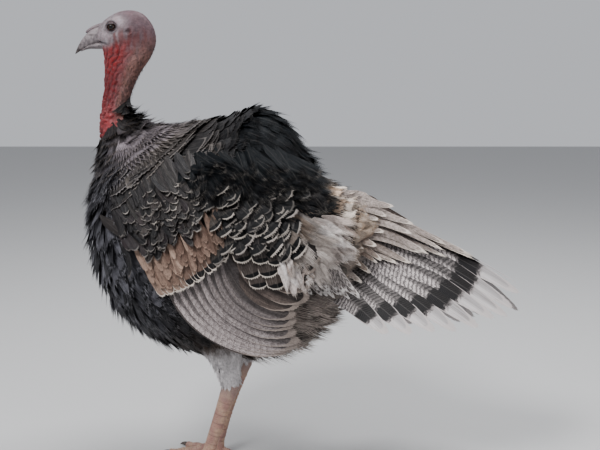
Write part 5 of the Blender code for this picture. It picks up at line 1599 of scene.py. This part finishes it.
def make_under_coverts(material):
    """Soft brown coverts under the tail."""
    share, count = np.linspace(-1, 1, UNDER_COVERTS), UNDER_COVERTS
    values = common(count, width=0.034, low=-0.012, high=-0.018 + RNG.normal(0, 0.002, count), taper=0.25,
                    round=0.25, fray=0.20, tint=GREY_BROWN * 1.7, edge=0.8, edge_tint=BUFF, cup=0.001,
                    lift=-np.abs(RNG.normal(0, 0.004, count)))
    reach = UNDER_COVERT_LENGTH * mix(1.0, 0.8, share ** 2) * RNG.normal(1, 0.10, count)
    tail_row("under_coverts", share, 0.0, reach, values, STRAND_VANE, material)


# Thighs and bristles

def leg_surface(side):
    """The thigh's feathered surface, where a runs down from the hip and b goes round it, and its length."""
    hip, hock, _ = leg_joints(side)
    way = unit(hock - hip)
    deep = unit(np.cross(way, Y_AXIS))
    over = np.cross(way, deep)
    long = np.linalg.norm(hock - hip)

    def place(a, b, height):
        reach = np.interp(a / long, THIGH_AT + (1.0, 1.2), THIGH_RADIUS + (0.0150, 0.0125)) + height
        point = hip + way * a[..., None] + deep * (reach * np.cos(b))[..., None]
        return point + over * (reach * LEG_FLAT * np.sin(b))[..., None]
    return place, long


def make_thigh_coat(tag, material):
    """Small feathers in rings down the thigh, paler towards the hock."""
    place, long = leg_surface(SIDES[tag])
    rings = []
    for k, a in enumerate(np.arange(0.30, 1.0, 0.045) * long):
        around = int(22 - 9 * a / long)
        rings.append(np.stack([np.full(around, a), (np.arange(around) + 0.5 * (k % 2)) * TAU / around], -1))
    root = np.concatenate(rings)
    count = len(root)
    root = root + RNG.normal(0, 1, (count, 2)) * np.array([0.0012, 0.06])
    share = root[:, 0] / long
    radius = np.interp(share, (0, 0.5, 1.0), (0.046, 0.033, 0.015))
    along, across = np.tile([1.0, 0.0], (count, 1)), np.stack([np.zeros(count), 1 / radius], -1)
    tint = mix(BROWN * 0.45, THIGH_PALE, smooth(0.30, 0.55, share)[:, None])
    values = common(count, length=mix(0.030, 0.014, share) * RNG.normal(1, 0.1, count),
                    width=mix(0.018, 0.008, share), low=0.0004, high=mix(0.006, 0.0022, share), taper=0.35,
                    round=0.25, fray=0.20, tint=tint * RNG.normal(1, 0.10, count)[:, None], edge=0.20,
                    edge_tint=WHITE * 0.8, cup=0.0004, lift=np.abs(RNG.normal(0, 0.0015, count)), rough=0.0005)

    def unwrap(root):
        return np.stack([np.mod(root[:, 1] / TAU, 1.0), root[:, 0] / long * 0.9], -1)
    coat = Coat(place, STRAND_VANE, unwrap)
    coat.build("coat_thigh_" + tag, root, along, across, values, material, "black_feather")


def make_bristles(material):
    """Short hair-like bristles on the crown and cheeks, longer and denser down the nape to the collar."""
    drawn, half_width, corners = 1500, 0.00022, 5
    u, v = RNG.uniform(0.6, 9.8, drawn), RNG.normal(0, 1, drawn) * 0.95
    keep = (RNG.random(drawn) < mix(0.25, 1.0, smooth(3.5, 7.5, u))) & (np.abs(v) < 2.0)
    u, v = u[keep], v[keep]
    count = len(u)
    root = body_surface(u, v, np.full(count, -0.0003))
    along, around, normal = body_frame(u, v)
    way = unit(along) + unit(around) * RNG.normal(0, 0.35, count)[:, None]
    way = unit(way + normal * RNG.uniform(0.25, 0.7, count)[:, None])
    length = (mix(0.0030, 0.0085, smooth(3.0, 8.0, u)) * RNG.uniform(0.6, 1.2, count))[:, None]
    side = unit(np.cross(way, normal)) * half_width
    middle = root + way * (length * 0.55) + normal * (length * 0.04)
    tip = root + way * length - normal * (length * 0.12)
    points = np.stack([root - side, root + side, middle + side * 0.7, middle - side * 0.7, tip], 1)
    first = np.arange(count)[:, None] * corners
    spread = np.array([(-0.5, -0.5), (0.5, -0.5), (0.5, 0.2), (-0.5, 0.2), (0.0, 0.5)]) * SMALL_PATCH
    uv = body_unwrap(np.stack([u, np.mod(v, TAU)], -1))[:, None] + spread
    shade = np.repeat(BRISTLE * RNG.uniform(0.6, 2.2, (count, 1)), corners, 0)
    quads, triangles = np.array([[0, 1, 2, 3]]) + first, np.array([[3, 2, 4]]) + first
    bristles = make_object("bristles", points.reshape(-1, 3), quads, triangles, uv.reshape(-1, 2),
                           {"paint": with_alpha(shade, 0.0)})
    dress(bristles, material, "head_skin")


# Stage

def make_camera():
    data = bpy.data.cameras.new("camera")
    camera = bpy.data.objects.new("camera", data)
    bpy.context.scene.collection.objects.link(camera)
    data.sensor_width = SENSOR_MM
    data.lens = SENSOR_MM * FOCAL_POINTS / PICTURE_POINTS
    camera.location = CAMERA_AT
    camera.rotation_euler = (math.pi / 2 - CAMERA_PITCH, 0, 0)
    bpy.context.scene.camera = camera


def make_light(name, place, size, power):
    data = bpy.data.lights.new(name, "AREA")
    data.shape, data.size, data.energy = "DISK", size, power
    light = bpy.data.objects.new(name, data)
    bpy.context.scene.collection.objects.link(light)
    light.location = place
    light.rotation_euler = (Vector(LIT_POINT) - Vector(place)).to_track_quat("-Z", "Y").to_euler()


def make_stage():
    """The studio floor, an even pale world and three soft lights."""
    bpy.ops.mesh.primitive_plane_add(size=FLOOR_SIZE, location=(0, 0, 0))
    floor = bpy.context.object
    floor.name = "studio_floor"
    floor.data.materials.append(floor_material())
    world = bpy.data.worlds.new("studio")
    world.use_nodes = True
    world.node_tree.nodes["Background"].inputs["Color"].default_value = WORLD_COLOUR
    world.node_tree.nodes["Background"].inputs["Strength"].default_value = WORLD_STRENGTH
    bpy.context.scene.world = world
    bpy.context.scene.view_settings.look = "AgX - Medium High Contrast"
    for light in LIGHTS:
        make_light(*light)


def main():
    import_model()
    make_camera()
    make_stage()
    skin = skin_material("bare_skin")
    materials = {kind: feather_material(**looks) for kind, looks in FEATHER_KINDS.items()}
    make_skin(skin)
    make_eyes(eye_material())
    make_bill(horn_material("bill_horn", *BILL_HORN))
    make_snood(skin)
    make_claws(horn_material("claw_horn", *CLAW_HORN))
    make_body_coat(materials)
    for tag in SIDES:
        make_wing(tag, materials)
        make_thigh_coat(tag, materials["soft"])
    make_rectrices(materials["tail"])
    make_tail_coverts(materials["covert_tail"])
    make_under_coverts(materials["soft"])
    make_bristles(skin)
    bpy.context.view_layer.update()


main()
